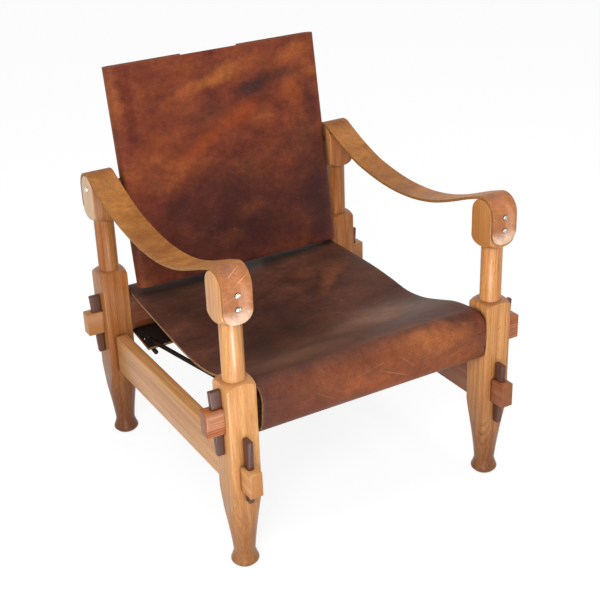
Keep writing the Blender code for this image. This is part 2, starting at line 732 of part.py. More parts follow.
def tip_rows():
    """Height above a strap's tip and half width there, for its rounded end."""
    half = STRAP_WIDTH / 2
    rows = []
    for number in range(5):
        angle = math.pi / 2 * number / 4
        rows.append((STRAP_TIP_ROUND * (1 - math.cos(angle)),
                     half - STRAP_TIP_ROUND * (1 - math.sin(angle))))
    return rows


def make_strap(name, side):
    """One arm strap, from its rounded front end over both heads to its rear end."""
    half = STRAP_WIDTH / 2
    face = OUTER_FACE_Y + FIT
    foot = HEAD_Z - STRAP_END_DROP + strap_rise(side)
    rows = [(-face, foot + up, width) for up, width in tip_rows()]
    rows += [(y, z, half) for y, z in strap_line()]
    rows += [(face, foot + up, width) for up, width in reversed(tip_rows())]
    grid = [[(width, y, z), (0.0, y, z), (-width, y, z)] for y, z, width in rows]
    strap = sheet("arm_strap_" + name, grid, STRAP_LEATHER, "strap_leather")
    strap.location.x = side * POST_X
    for end in (-1, 1):
        for z in screw_heights(side):
            x = side * POST_X
            hole = rod("strap_hole", (x, end * (face - OVERRUN), z),
                       (x, end * (face + STRAP_LEATHER + OVERRUN), z), SCREW_RADIUS + FIT, SMALL_STEPS)
            combine(strap, hole, "DIFFERENCE")


def make_strap_screw(corner, level, z):
    """One slotted screw and the cup washer that it sits in."""
    side, end = CORNERS[corner]
    seat = OUTER_FACE_Y + FIT + STRAP_LEATHER + FIT
    cup = [(WASHER_RADIUS - WASHER_LIP, WASHER_HEIGHT), (WASHER_RADIUS, WASHER_LIP),
           (WASHER_RADIUS, 0.0), (SCREW_RADIUS + FIT, 0.0),
           (SCREW_HEAD_RADIUS + FIT, WASHER_HEIGHT - FIT),
           (SCREW_HEAD_RADIUS + FIT, WASHER_HEIGHT), (WASHER_RADIUS - WASHER_LIP, WASHER_HEIGHT)]
    washer = turned("cup_washer_" + corner + "_" + level, cup, SMALL_STEPS, "nickel")
    crown = arc((0.0, WASHER_HEIGHT), SCREW_HEAD_RADIUS, math.pi / 2, 0.0, 3, SCREW_CROWN)
    shank_end = WASHER_HEIGHT - SCREW_LENGTH
    profile = [*crown, (SCREW_RADIUS, FIT), (SCREW_RADIUS, shank_end), (0.0, shank_end - SCREW_RADIUS)]
    screw = turned("strap_screw_" + corner + "_" + level, profile, SMALL_STEPS, "nickel")
    top = WASHER_HEIGHT + SCREW_CROWN
    slot = block("screw_slot", (-SCREW_HEAD_RADIUS - OVERRUN, -SCREW_SLOT / 2, top - SCREW_SLOT_DEPTH),
                 (SCREW_HEAD_RADIUS + OVERRUN, SCREW_SLOT / 2, top + OVERRUN))
    for thing in (washer, screw, slot):
        thing.location = (side * POST_X, end * seat, z)
        thing.rotation_euler.x = -end * math.pi / 2
    combine(screw, slot, "DIFFERENCE")


def build():
    """Make every piece of the chair."""
    start_scene()
    make_materials()
    leg = turned("turning", leg_profile(), POST_STEPS)
    for corner in CORNERS:
        make_post(corner, leg)
        for rail in ("cross", "side"):
            make_wedge(corner, rail)
        for level, z in zip(("upper", "lower"), screw_heights(CORNERS[corner][0])):
            make_strap_screw(corner, level, z)
    for name, end in (("front", -1), ("rear", 1)):
        make_cross_rail(name, end)
    for name, side in (("left", -1), ("right", 1)):
        make_side_rail(name, side)
        make_stile(name, side)
        make_pivot(name, side)
        make_strap(name, side)
    make_seat()
    make_back()


build()
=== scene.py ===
# %% [markdown]
# # Dressing a campaign chair
#
# The real object is a knock-down armchair: four turned oak posts, rails whose long tenons are locked by
# loose wedges, and saddle leather slung between them for the seat, the back and the arms. The frame that
# this lesson loads holds every piece at its real size. Each step below gives one part of it the form and
# the finish that the eye needs, and leaves the joints and the places as they are.

import math

import bmesh
import bpy
from mathutils import Matrix, Vector, noise


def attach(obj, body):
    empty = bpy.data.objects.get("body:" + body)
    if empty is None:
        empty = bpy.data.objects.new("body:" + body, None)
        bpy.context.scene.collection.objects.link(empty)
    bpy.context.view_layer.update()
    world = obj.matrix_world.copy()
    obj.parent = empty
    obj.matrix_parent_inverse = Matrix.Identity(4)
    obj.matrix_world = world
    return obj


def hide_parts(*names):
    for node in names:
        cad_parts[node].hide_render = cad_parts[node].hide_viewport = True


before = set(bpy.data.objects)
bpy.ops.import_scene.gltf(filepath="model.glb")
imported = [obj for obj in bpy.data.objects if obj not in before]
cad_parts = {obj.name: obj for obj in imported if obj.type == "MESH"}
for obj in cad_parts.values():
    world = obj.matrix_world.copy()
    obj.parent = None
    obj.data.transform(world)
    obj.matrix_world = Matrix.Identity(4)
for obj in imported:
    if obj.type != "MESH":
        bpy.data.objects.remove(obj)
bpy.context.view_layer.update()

# %% [markdown]
# ## The camera
#
# The photograph looks down on the chair from the left, in front of it. A camera could be placed by eye, but
# the square feet, rails and tenons give enough corners to solve for its place, so these numbers are the
# solution: where it stands, how it is turned, and its focal length in pixels of a 600 pixel image.

# %% Place the camera
IMAGE_PIXELS = 600
FOCAL_PIXELS = 1209.34
SENSOR_MM = 36.0
CAMERA_AT = (-0.9357, -1.6700, 1.2283)
CAMERA_YAW = math.radians(-29.64)
CAMERA_PITCH = math.radians(-25.79)
CAMERA_ROLL = math.radians(-2.11)


def stand(name, data):
    """Put an object that shows this data into the scene."""
    thing = bpy.data.objects.new(name, data)
    bpy.context.scene.collection.objects.link(thing)
    return thing


camera = stand("camera", bpy.data.cameras.new("camera"))
camera.data.sensor_width = SENSOR_MM
camera.data.lens = SENSOR_MM * FOCAL_PIXELS / IMAGE_PIXELS
camera.matrix_world = (Matrix.Translation(CAMERA_AT) @ Matrix.Rotation(CAMERA_YAW, 4, "Z")
                       @ Matrix.Rotation(math.pi / 2 + CAMERA_PITCH, 4, "X")
                       @ Matrix.Rotation(CAMERA_ROLL, 4, "Z"))
bpy.context.scene.camera = camera
print("lens in mm:", round(camera.data.lens, 1))

# %% [markdown]
# ## Two small tools for materials
#
# Colours are written as the hex values that a screen shows, and one function turns them into the linear
# light that a shader works in. A material here is a tree of nodes, so one more function adds a node with
# its settings and links, and a helper of it sets sockets. Everything else is said where it is used.

# %% Colours and nodes
def ink(code):
    """Turn an sRGB hex colour into linear light."""
    channels = [int(code[i:i + 2], 16) / 255 for i in (1, 3, 5)]
    return (*[c / 12.92 if c <= 0.04045 else ((c + 0.055) / 1.055) ** 2.4 for c in channels], 1.0)


def plug(tree, node, inputs):
    """Set each named socket of a node to a value, or link it to another node's output."""
    for socket, value in inputs.items():
        if isinstance(value, bpy.types.NodeSocket):
            tree.links.new(value, node.inputs[socket])
        else:
            node.inputs[socket].default_value = value


def shade(tree, kind, inputs=None, stops=None, **settings):
    """Add one node with its settings, its ramp's stops, and its sockets set or linked."""
    node = tree.nodes.new("ShaderNode" + kind)
    for name, value in settings.items():
        setattr(node, name, value)
    plug(tree, node, inputs or {})
    if stops:
        elements = node.color_ramp.elements
        while len(elements) < len(stops):
            elements.new(0.5)
        for element, (position, colour) in zip(elements, stops):
            element.position = position
            element.color = ink(colour)
    return node


def fresh(name):
    """A new material with its node tree and its one Principled shader."""
    material = bpy.data.materials.new(name)
    material.use_nodes = True
    return material, material.node_tree, material.node_tree.nodes["Principled BSDF"]


print("middle grey in linear light:", round(ink("#808080")[0], 3))

# %% Painted shade and dust in the corners
# The Mix node keeps its colour sockets at these numbers
FACTOR, FIRST, SECOND, MIXED = 0, 6, 7, 2


def corner_shade_and_dust(tree, colour, reach, darkest):
    """Darken a colour where pieces meet: painted shade, with the dust and wax that no cloth can reach."""
    open_share = shade(tree, "AmbientOcclusion", {"Distance": reach}, samples=6).outputs["AO"]
    kept = shade(tree, "MapRange", {"Value": open_share, "From Min": 0.35, "From Max": 0.85,
                                    "To Min": darkest}).outputs[0]
    return shade(tree, "VectorMath", {0: colour, 3: kept}, operation="SCALE").outputs[0]


print("colour sockets of a Mix node:", FIRST, "and", SECOND)

# %% [markdown]
# ## The stage
#
# The chair stands on a seamless white sheet under large, soft lamps. The floor is an ordinary white that
# throws light back up under the seat. To the camera, and in reflections, most of its white is given as
# light of its own, so that it reads as paper white, and the small rest still takes the chair's shadow.

# %% Lay the floor
FLOOR_SIZE = 12.0
FLOOR_BELOW = 0.0003
FLOOR_GLOW = 0.86
FLOOR_SHADOW_SHARE = 0.22


def seen_share(tree):
    """1 for rays that reach the eye, straight or off gloss or through glass, and 0 for rays that light."""
    path = shade(tree, "LightPath").outputs
    seen = shade(tree, "Math", {0: path["Is Camera Ray"], 1: path["Is Glossy Ray"]}, operation="MAXIMUM")
    return shade(tree, "Math", {0: seen.outputs[0], 1: path["Is Transmission Ray"]},
                 operation="MAXIMUM").outputs[0]


floor_bm = bmesh.new()
bmesh.ops.create_grid(floor_bm, x_segments=1, y_segments=1, size=FLOOR_SIZE / 2)
floor_mesh = bpy.data.meshes.new("floor")
floor_bm.to_mesh(floor_mesh)
floor_bm.free()
floor = stand("floor", floor_mesh)
floor.location.z = -FLOOR_BELOW

paper = bpy.data.materials.new("paper_white_floor")
paper.use_nodes = True
tree = paper.node_tree
tree.nodes.clear()
bounce = shade(tree, "BsdfDiffuse", {"Color": ink("#E6E6E6")})
glow = shade(tree, "Emission", {"Color": ink("#FFFFFF"), "Strength": FLOOR_GLOW})
veil = shade(tree, "BsdfDiffuse", {"Color": (FLOOR_SHADOW_SHARE,) * 3 + (1.0,)})
lit = shade(tree, "AddShader", {0: glow.outputs[0], 1: veil.outputs[0]})
either = shade(tree, "MixShader", {0: seen_share(tree), 1: bounce.outputs[0], 2: lit.outputs[0]})
shade(tree, "OutputMaterial", {"Surface": either.outputs[0]})
floor_mesh.materials.append(paper)
print("floor glows by", FLOOR_GLOW, "and shows shadows with a share of", FLOOR_SHADOW_SHARE)

# %% Light the room
SKY_LIGHT = 0.44

sky = bpy.data.worlds.new("white_room")
sky.use_nodes = True
tree = sky.node_tree
tree.nodes.clear()
strength = shade(tree, "MapRange", {"Value": seen_share(tree), "To Min": SKY_LIGHT, "To Max": 1.0})
backdrop = shade(tree, "Background", {"Color": ink("#FFFFFF"), "Strength": strength.outputs[0]})
shade(tree, "OutputWorld", {"Surface": backdrop.outputs[0]})
bpy.context.scene.world = sky
bpy.context.scene.view_settings.view_transform = "Standard"
print("the room gives", SKY_LIGHT, "of full white as light, and shows as white")

# %% [markdown]
# ## The lamps
#
# A large softbox high at the left gives the chair its light side. A weak one above and a small one low in
# front fill its shadows. One more lamp is there for gloss alone: the photograph's round necks carry a soft
# upright line, which a strip in front of the chair gives. It lies on the floor, and is kept from lighting
# anything by itself, because more plain light would wash out the shadows.

# %% Hang the lamps
AIM = Vector((0.0, 0.0, 0.33))
# Where each lamp hangs, how wide it is, and its watts
LAMPS = {"key_softbox": ((-1.6, -2.1, 2.1), 1.2, 54.0),
         "top_softbox": ((0.6, -0.3, 2.6), 1.2, 12.0),
         "low_front_softbox": ((-1.5, -2.3, 0.35), 0.5, 9.0),
         "floor_strip": ((-0.38, -1.00, 0.02), 0.16, 17.0)}
STRIP_LENGTH = 0.7
STRIP_LOOKS_UP = (math.pi, 0.0, 0.0)


def softbox(name, place, size, watts):
    """A square soft lamp that faces the chair."""
    lamp = bpy.data.lights.new(name, "AREA")
    lamp.size = size
    lamp.energy = watts
    holder = stand(name, lamp)
    holder.location = place
    holder.rotation_euler = (AIM - Vector(place)).to_track_quat("-Z", "Y").to_euler()
    holder.visible_camera = False
    return holder


lamps = {name: softbox(name, *values) for name, values in LAMPS.items()}
strip = lamps["floor_strip"]
strip.data.shape = "RECTANGLE"
strip.data.size_y = STRIP_LENGTH
strip.rotation_euler = STRIP_LOOKS_UP
strip.visible_diffuse = False
print("lamps:", list(lamps))

# %% [markdown]
# ## Oiled oak
#
# Oak shows growth rings: a coarse, darker band of pores each spring, then a smooth, paler band. A plank is
# a slice through those rings, so the same tree gives straight lines on one face and arches on the next. An
# image of wood would stretch round the turned legs. Rings round a tree's heart in space give the right
# figure on every face by themselves: the turned foot cuts across them and shows ovals.

# %% Sizes in the wood
WAVE_REPEAT = math.pi / 10
RING_GAP = 0.0032
RING_WANDER = 0.010
# Wet and dry years come in runs, so a few rings together stand out and the next few hardly show
YEARS_ALIKE = 0.007
OAK_STREAK = "#D9A67C"
WANDER_SIZE = 0.085
WANDER_LENGTH = 0.42
FIBRE_WIDTH = 0.0011
FIBRE_LENGTH = 0.070
# Real pores are a quarter of a millimetre wide; these are drawn three times coarser so that they show
PORE_WIDTH = 0.0007
PORE_LENGTH = 0.011
GRAIN_TURN = {"X": (0.0, math.pi / 2, 0.0), "Y": (-math.pi / 2, 0.0, 0.0), "Z": (0.0, 0.0, 0.0)}
GRAIN_LINE = {"X": (1.0, 0.0, 0.0), "Y": (0.0, 1.0, 0.0), "Z": (0.0, 0.0, 1.0)}
# Every leg is made redder and darker towards the floor
LEG_DARKENING_TOP = 0.27
# Some heads are toned apart from their necks; the rear left head's pale cheeks are partly painted sheen
HEAD_TONE_FROM = 0.430
HEAD_TONE_TO = 0.445
HEAD_TONE_SHARE = 0.65
# The rear rail's tenons stand out in the light, and are paler than its body, which is painted dark for the
# shade under the seat
TIP_FROM = 0.266
TIP_TO = 0.270
# The hand-rubbed oil lies in the wood and not on it, so it mirrors less than a varnish
OAK_GLOSS = 0.32
# Corners where pieces meet are darkened: painted shade, with a little dust
OAK_SHADE_AND_DUST_REACH = 0.008
OAK_SHADE_AND_DUST = 0.38
# The end of the front rail that lies between the leather and the post is painted black: a painted shadow
END_SHADOW_MIDDLE = 0.211
END_SHADOW_HALF = 0.0075
WANDER_SCALE = (1 / WANDER_SIZE, 1 / WANDER_SIZE, 1 / WANDER_LENGTH)
YEARS_SCALE = (1 / YEARS_ALIKE, 1 / YEARS_ALIKE, 1 / WANDER_LENGTH)
FIBRE_SCALE = (1 / FIBRE_WIDTH, 1 / FIBRE_WIDTH, 1 / FIBRE_LENGTH)
PORE_SCALE = (1 / PORE_WIDTH, 1 / PORE_WIDTH, 1 / PORE_LENGTH)
print("rings", RING_GAP * 1000, "mm apart, fibres", FIBRE_WIDTH * 1000, "mm wide")

# %% The log, its rings and its years
def in_the_log(tree, where, grain, heart, lean):
    """Places in a log whose heart lies near the piece: at the clouds' scale, and bent as rings wander."""
    turn = [a + math.radians(b) for a, b in zip(GRAIN_TURN[grain], lean)]
    log = shade(tree, "Mapping", {"Vector": where, "Location": heart, "Rotation": turn},
                vector_type="TEXTURE").outputs[0]
    slow = shade(tree, "Mapping", {"Vector": log, "Scale": WANDER_SCALE}).outputs[0]
    wander = shade(tree, "TexNoise", {"Vector": slow, "Scale": 1.0, "Detail": 3.0, "Roughness": 0.45})
    bent = shade(tree, "VectorMath", {0: wander.outputs["Color"], 1: (RING_WANDER, RING_WANDER, 0.0),
                                      2: log}, operation="MULTIPLY_ADD").outputs[0]
    return slow, bent


def ring_figure(tree, bent, tones, rings, depth):
    """Growth rings, with runs of years that hardly show and streaks of redder wood."""
    pale, warm, line = tones
    ring = shade(tree, "TexWave", {"Vector": bent, "Scale": WAVE_REPEAT / rings, "Distortion": 0.0},
                 wave_type="RINGS", rings_direction="Z", wave_profile="SAW").outputs["Fac"]
    figure = shade(tree, "ValToRGB", {"Fac": ring},
                   stops=[(0.0, line), (0.10, line), (0.34, warm), (0.70, pale), (0.94, warm)]).outputs[0]
    years = shade(tree, "Mapping", {"Vector": bent, "Scale": YEARS_SCALE}).outputs[0]
    years = shade(tree, "TexNoise", {"Vector": years, "Scale": 1.0, "Detail": 2.0})
    fading = shade(tree, "MapRange", {"Value": years.outputs["Fac"], "From Min": 0.38, "From Max": 0.62,
                                      "To Min": depth * 0.12, "To Max": depth}).outputs[0]
    figure = shade(tree, "Mix", {FACTOR: fading, FIRST: ink(warm), SECOND: figure},
                   data_type="RGBA").outputs[MIXED]
    streak = shade(tree, "SeparateXYZ", {"Vector": years.outputs["Color"]}).outputs["Y"]
    streak = shade(tree, "MapRange", {"Value": streak, "From Min": 0.40, "From Max": 0.66,
                                      "To Max": depth}).outputs[0]
    return shade(tree, "Mix", {FACTOR: streak, FIRST: figure, SECOND: ink(OAK_STREAK)},
                 data_type="RGBA", blend_type="MULTIPLY").outputs[MIXED]


print("years alike span", YEARS_ALIKE * 1000, "mm")

# %% Fibres, pores and end grain
def fibres_and_pores(tree, bent, figure, line):
    """The figure with its fine fibres and dark pores, then the fibres and the pores by themselves."""
    fine = shade(tree, "Mapping", {"Vector": bent, "Scale": FIBRE_SCALE}).outputs[0]
    fibre = shade(tree, "TexNoise", {"Vector": fine, "Scale": 1.0, "Detail": 3.0}).outputs["Fac"]
    tone = shade(tree, "MapRange", {"Value": fibre, "From Min": 0.3, "From Max": 0.7, "To Min": 0.78,
                                    "To Max": 1.12}).outputs[0]
    toned = shade(tree, "VectorMath", {0: figure, 3: tone}, operation="SCALE").outputs[0]
    small = shade(tree, "Mapping", {"Vector": bent, "Scale": PORE_SCALE}).outputs[0]
    pore = shade(tree, "TexNoise", {"Vector": small, "Scale": 1.0, "Detail": 1.0}).outputs["Fac"]
    pore = shade(tree, "MapRange", {"Value": pore, "From Min": 0.58, "From Max": 0.72,
                                    "To Max": 0.75}).outputs[0]
    pored = shade(tree, "Mix", {FACTOR: pore, FIRST: toned, SECOND: ink(line)},
                  data_type="RGBA").outputs[MIXED]
    return pored, fibre, pore


def facing(tree, normal, line):
    """How squarely a surface faces along a line, from 0 to 1, whichever way round."""
    dot = shade(tree, "VectorMath", {0: normal, 1: GRAIN_LINE[line]},
                operation="DOT_PRODUCT").outputs["Value"]
    return shade(tree, "Math", {0: dot}, operation="ABSOLUTE").outputs[0]


def end_grain(tree, normal, grain, colour, patina):
    """Darken a colour where the saw cut across the grain."""
    across = shade(tree, "MapRange", {"Value": facing(tree, normal, grain), "From Min": 0.35,
                                      "From Max": 0.95, "To Max": 0.70}).outputs[0]
    return shade(tree, "Mix", {FACTOR: across, FIRST: colour, SECOND: ink(patina)},
                 data_type="RGBA").outputs[MIXED]


print("pores:", PORE_WIDTH * 1000, "by", PORE_LENGTH * 1000, "mm")

# %% Head tones, darker legs and a painted shadow
def darker_towards_floor(tree, height, colour, floor_tone):
    """Redden and darken a leg towards the floor."""
    low = shade(tree, "MapRange", {"Value": height, "From Min": LEG_DARKENING_TOP, "From Max": 0.0},
                interpolation_type="SMOOTHSTEP").outputs[0]
    return shade(tree, "Mix", {FACTOR: low, FIRST: colour, SECOND: ink(floor_tone)}, data_type="RGBA",
                 blend_type="MULTIPLY").outputs[MIXED]


def end_tone_and_sheen(tree, where, grain, out, colour, tone):
    """Tone the left and right cheeks of a post's head, in part a painted sheen, or the tips of a rail's
    tenons.
    """
    start, stop = (HEAD_TONE_FROM, HEAD_TONE_TO) if grain == "Z" else (TIP_FROM, TIP_TO)
    crown = shade(tree, "MapRange", {"Value": out, "From Min": start, "From Max": stop,
                                     "To Max": HEAD_TONE_SHARE}).outputs[0]
    if grain == "Z":
        crown = shade(tree, "Math", {0: crown, 1: facing(tree, where["Normal"], "X")},
                      operation="MULTIPLY").outputs[0]
    return shade(tree, "Mix", {FACTOR: crown, FIRST: colour, SECOND: ink(tone)},
                 data_type="RGBA").outputs[MIXED]


def outside_end_shadow(tree, along):
    """1 on the rail, and nearly 0 in the painted shadow at each end of the front rail."""
    band = shade(tree, "Math", {0: along, 1: END_SHADOW_MIDDLE, 2: END_SHADOW_HALF},
                 operation="COMPARE").outputs[0]
    return shade(tree, "MapRange", {"Value": band, "To Min": 1.0, "To Max": 0.06}).outputs[0]


print("legs darken below", LEG_DARKENING_TOP * 1000, "mm")

# %% Oil the oak
def oak(name, grain, heart, lean, pale, warm, line, patina="#8A5A30", rings=RING_GAP, depth=0.75,
        head=None, floor_tone="#B0A29A", shadowed_ends=False):
    """Planed and turned oak with a satin oil finish, which gives soft highlights and clear ring figure."""
    material, tree, skin = fresh(name)
    where = shade(tree, "TexCoord").outputs
    slow, bent = in_the_log(tree, where["Object"], grain, heart, lean)
    figure = ring_figure(tree, bent, (pale, warm, line), rings, depth)
    colour, fibre, pore = fibres_and_pores(tree, bent, figure, line)
    place = shade(tree, "SeparateXYZ", {"Vector": where["Object"]}).outputs
    along = shade(tree, "Math", {0: place["X"]}, operation="ABSOLUTE").outputs[0]
    if grain == "Z":
        colour = darker_towards_floor(tree, place["Z"], colour, floor_tone)
    if head:
        colour = end_tone_and_sheen(tree, where, grain, place["Z"] if grain == "Z" else along, colour, head)
    cloud = shade(tree, "TexNoise", {"Vector": slow, "Scale": 1.7, "Detail": 2.0}).outputs["Fac"]
    cloud = shade(tree, "MapRange", {"Value": cloud, "From Min": 0.35, "From Max": 0.68, "To Min": 1.05,
                                     "To Max": 0.86}).outputs[0]
    plug(tree, skin, {"Specular IOR Level": OAK_GLOSS})
    # The front rail's ends get a painted shadow, and their gloss is taken down with it
    if shadowed_ends:
        unshaded = outside_end_shadow(tree, along)
        cloud = shade(tree, "Math", {0: cloud, 1: unshaded}, operation="MULTIPLY").outputs[0]
        gloss = shade(tree, "Math", {0: unshaded, 1: OAK_GLOSS}, operation="MULTIPLY").outputs[0]
        plug(tree, skin, {"Specular IOR Level": gloss})
    colour = shade(tree, "VectorMath", {0: colour, 3: cloud}, operation="SCALE").outputs[0]
    colour = end_grain(tree, where["Normal"], grain, colour, patina)
    rough = shade(tree, "MapRange", {"Value": fibre, "To Min": 0.26, "To Max": 0.40}).outputs[0]
    grooves = shade(tree, "Math", {0: fibre, 1: pore}, operation="SUBTRACT").outputs[0]
    bump = shade(tree, "Bump", {"Height": grooves, "Strength": 0.25, "Distance": 0.0002}).outputs[0]
    plug(tree, skin, {"Base Color": corner_shade_and_dust(tree, colour, OAK_SHADE_AND_DUST_REACH, OAK_SHADE_AND_DUST),
                      "Roughness": rough, "Normal": bump})
    return material


print("oak needs a heart, a grain line and three tones for each piece")

# %% [markdown]
# ## A log for each piece
#
# No two pieces of a chair come from the same place in a tree. Each one below gets its own log: where the
# log's heart lies, how it leans, and three tones of its rings, from pale to dark line. The front posts
# stand in the light and are the palest, partly as painted light. The rear posts are darker, partly their
# wood and partly painted shade, and the rear and right rails under the seat are painted dark for their shade.

# %% Choose the planks
POST_X = POST_Y = 0.243
OAKS = {
    "post_front_left": oak("oak_front_left", "Z", (-POST_X + 0.020, -POST_Y + 0.075, 0.0), (1.6, -1.0, 0),
                           "#F8C284", "#EEAE6C", "#C4864A", patina="#B87E4C", depth=0.38),
    "post_front_right": oak("oak_front_right", "Z", (POST_X + 0.060, -POST_Y + 0.055, 0.0), (0.6, 0.5, 0),
                            "#F6BE7E", "#EEAA66", "#AC6C38", patina="#8E5A34", depth=0.58, head="#C58140",
                            floor_tone="#9C8E88"),
    # The rear posts' darker tones are partly their wood and partly painted shade; the rear left head's pale
    # cheeks are partly painted sheen
    "post_rear_left": oak("oak_rear_left", "Z", (-POST_X + 0.070, POST_Y + 0.050, 0.0), (0.8, 0.4, 0),
                          "#CC8E54", "#BC7C42", "#884E26", patina="#A0663A", rings=0.0024, depth=0.6,
                          head="#F4D2A6", floor_tone="#A8988E"),
    "post_rear_right": oak("oak_rear_right", "Z", (POST_X + 0.015, POST_Y + 0.070, 0.0), (1.0, -0.5, 0),
                           "#CC8A50", "#B8763E", "#8A5028", patina="#945C2E", rings=0.0028, depth=0.6,
                           head="#DE9A5E", floor_tone="#A8988E"),
    "cross_rail_front": oak("oak_front_rail", "X", (0.0, -POST_Y + 0.045, 0.30), (0.6, 0, 0),
                            "#D89058", "#C67A44", "#854526", patina="#8E5230", rings=0.0026, depth=1.0,
                            shadowed_ends=True),
    # The rear rail's body is painted dark for the shade under the seat
    "cross_rail_rear": oak("oak_rear_rail", "X", (0.0, POST_Y + 0.060, 0.16), (0.5, 0, 0),
                           "#8E5836", "#764428", "#5A301C", patina="#C08A50", rings=0.0030, head="#C8894E"),
    "side_rail_left": oak("oak_left_rail", "Y", (-POST_X + 0.055, 0.0, 0.10), (0.5, 0, 0.4),
                          "#EAB67C", "#DCA266", "#B88048", patina="#BC7A42", rings=0.0028, depth=0.5),
    # The right rail is painted darker for the shade it stands in
    "side_rail_right": oak("oak_right_rail", "Y", (POST_X + 0.055, 0.0, 0.11), (0.4, 0, 0.5),
                           "#B4744A", "#A0623A", "#7A4424", patina="#94582F", rings=0.0028, depth=0.7),
}
print("oak pieces:", len(OAKS))

# %% [markdown]
# ## Dark wedge wood
#
# The wedges are a dark red-brown hardwood. Hammering and handling has rubbed their corners pale. Worn
# corners could be painted, but a shader can find them: where a rounded normal and the true one differ,
# there is an edge.

# %% Wedge wood with rubbed corners
WEAR_RADIUS = 0.0012


def wedge_wood(name):
    """Dark, close-grained hardwood, matt, with lighter rubbed corners."""
    material, tree, skin = fresh(name)
    where = shade(tree, "TexCoord").outputs["Object"]
    fine = shade(tree, "Mapping", {"Vector": where, "Scale": FIBRE_SCALE}).outputs[0]
    fibre = shade(tree, "TexNoise", {"Vector": fine, "Scale": 1.0, "Detail": 4.0}).outputs["Fac"]
    tone = shade(tree, "ValToRGB", {"Fac": fibre},
                 stops=[(0.30, "#3B221A"), (0.52, "#5C3527"), (0.72, "#7C4C36")]).outputs[0]
    geometry = shade(tree, "NewGeometry").outputs["Normal"]
    rounded = shade(tree, "Bevel", {"Radius": WEAR_RADIUS}, samples=4).outputs[0]
    same = shade(tree, "VectorMath", {0: geometry, 1: rounded}, operation="DOT_PRODUCT").outputs["Value"]
    rubbed = shade(tree, "MapRange", {"Value": same, "From Min": 0.97, "From Max": 0.80,
                                      "To Max": 0.55}).outputs[0]
    worn = shade(tree, "Mix", {FACTOR: rubbed, FIRST: tone, SECOND: ink("#9A6248")},
                 data_type="RGBA").outputs[MIXED]
    bump = shade(tree, "Bump", {"Height": fibre, "Strength": 0.3, "Distance": 0.0002}).outputs[0]
    plug(tree, skin, {"Base Color": worn, "Roughness": 0.48, "Normal": bump})
    return material


WEDGE_WOOD = wedge_wood("dark_wedge_hardwood")
print("corners rubbed over", WEAR_RADIUS * 1000, "mm")

# %% [markdown]
# ## Saddle leather
#
# Saddle leather is thick, vegetable-tanned hide. Years of wax and sunlight leave soft clouds of dark and
# light in it, scuffs where it is sat on, and a fine pebble of pores over all. Each sheet below keeps, for
# every corner of its faces, where that lay before the sheet was bent. Patterns are drawn in that flat
# place, so they run round a roll without stretching, and a few large clouds are placed one by one.

# %% Sizes in the hide
PEBBLE = 0.0016
SCUFF_LENGTH = 0.020
SCUFF_WIDTH = 0.0011
SCUFF_TURNS = (-34, 17, 62)
# How far noise pushes the rim of a cloud about, so that it isn't a clean oval
RAGGED_REACH = 0.05
CLOUD_CORE = 0.15
MARK_CORE = 0.70
# Wax fills the pores, so the skin mirrors less of the room than bare plastic or varnish would
LEATHER_GLOSS = 0.16
# Fine dust and fibres catch light that comes along the surface, and are warmer than a mirror of the sky
LEATHER_SHEEN = 0.10
SHEEN_TONE = "#E0B890"
SHEEN_ROUGH = 0.45
# Corners where pieces meet are darkened: painted shade, with a little dust
LEATHER_SHADE_AND_DUST_REACH = 0.030
LEATHER_SHADE_AND_DUST = 0.45
FLAT_PLACE = "flat_place"
print("pebble", PEBBLE * 1000, "mm, scuffs", SCUFF_LENGTH * 1000, "by", SCUFF_WIDTH * 1000, "mm")

# %% Clouds and marks
def cloud_mask(tree, where, cloud, core):
    """An oval in the flat sheet: its centre, half sizes and turn, from 1 in its core to 0 outside."""
    centre, reach, turn = cloud
    local = shade(tree, "Mapping", {"Vector": where, "Location": (*centre, 0.0),
                                    "Rotation": (0.0, 0.0, math.radians(turn)), "Scale": (*reach, 1.0)},
                  vector_type="TEXTURE").outputs[0]
    far = shade(tree, "VectorMath", {0: local}, operation="LENGTH").outputs["Value"]
    return shade(tree, "MapRange", {"Value": far, "From Min": 1.0, "From Max": core},
                 interpolation_type="SMOOTHSTEP").outputs[0]


def with_clouds(tree, flat, colour, clouds, marks):
    """Lay soft, ragged clouds and then clear-cut marks over a colour."""
    ragged = shade(tree, "TexNoise", {"Vector": flat, "Scale": 20.0, "Detail": 6.0,
                                      "Roughness": 0.65}).outputs["Color"]
    loose = shade(tree, "VectorMath", {0: ragged, 1: (RAGGED_REACH, RAGGED_REACH, 0.0), 2: flat},
                  operation="MULTIPLY_ADD").outputs[0]
    loose = shade(tree, "VectorMath", {0: loose, 1: (RAGGED_REACH / 2, RAGGED_REACH / 2, 0.0)},
                  operation="SUBTRACT").outputs[0]
    for where, spots, core in ((loose, clouds, CLOUD_CORE), (flat, marks, MARK_CORE)):
        for tone, depth, *spot in spots:
            mask = shade(tree, "Math", {0: cloud_mask(tree, where, spot, core), 1: depth},
                         operation="MULTIPLY").outputs[0]
            colour = shade(tree, "Mix", {FACTOR: mask, FIRST: colour, SECOND: ink(tone)},
                           data_type="RGBA").outputs[MIXED]
    return colour


print("a cloud's rim wanders", RAGGED_REACH / 2 * 1000, "mm either way")

# %% Speckle and scuffs
def with_speckle(tree, flat, colour, grain):
    """Break a colour up at four sizes, from thumb to pore."""
    for size, share in ((0.040, 0.15), (0.011, 0.13), (0.0032, grain), (0.0011, grain * 0.7)):
        speckle = shade(tree, "TexNoise", {"Vector": flat, "Scale": 1 / size, "Detail": 2.0}).outputs["Fac"]
        speckle = shade(tree, "MapRange", {"Value": speckle, "From Min": 0.3, "From Max": 0.7,
                                           "To Min": 1 - share, "To Max": 1 + share}).outputs[0]
        colour = shade(tree, "VectorMath", {0: colour, 3: speckle}, operation="SCALE").outputs[0]
    return colour


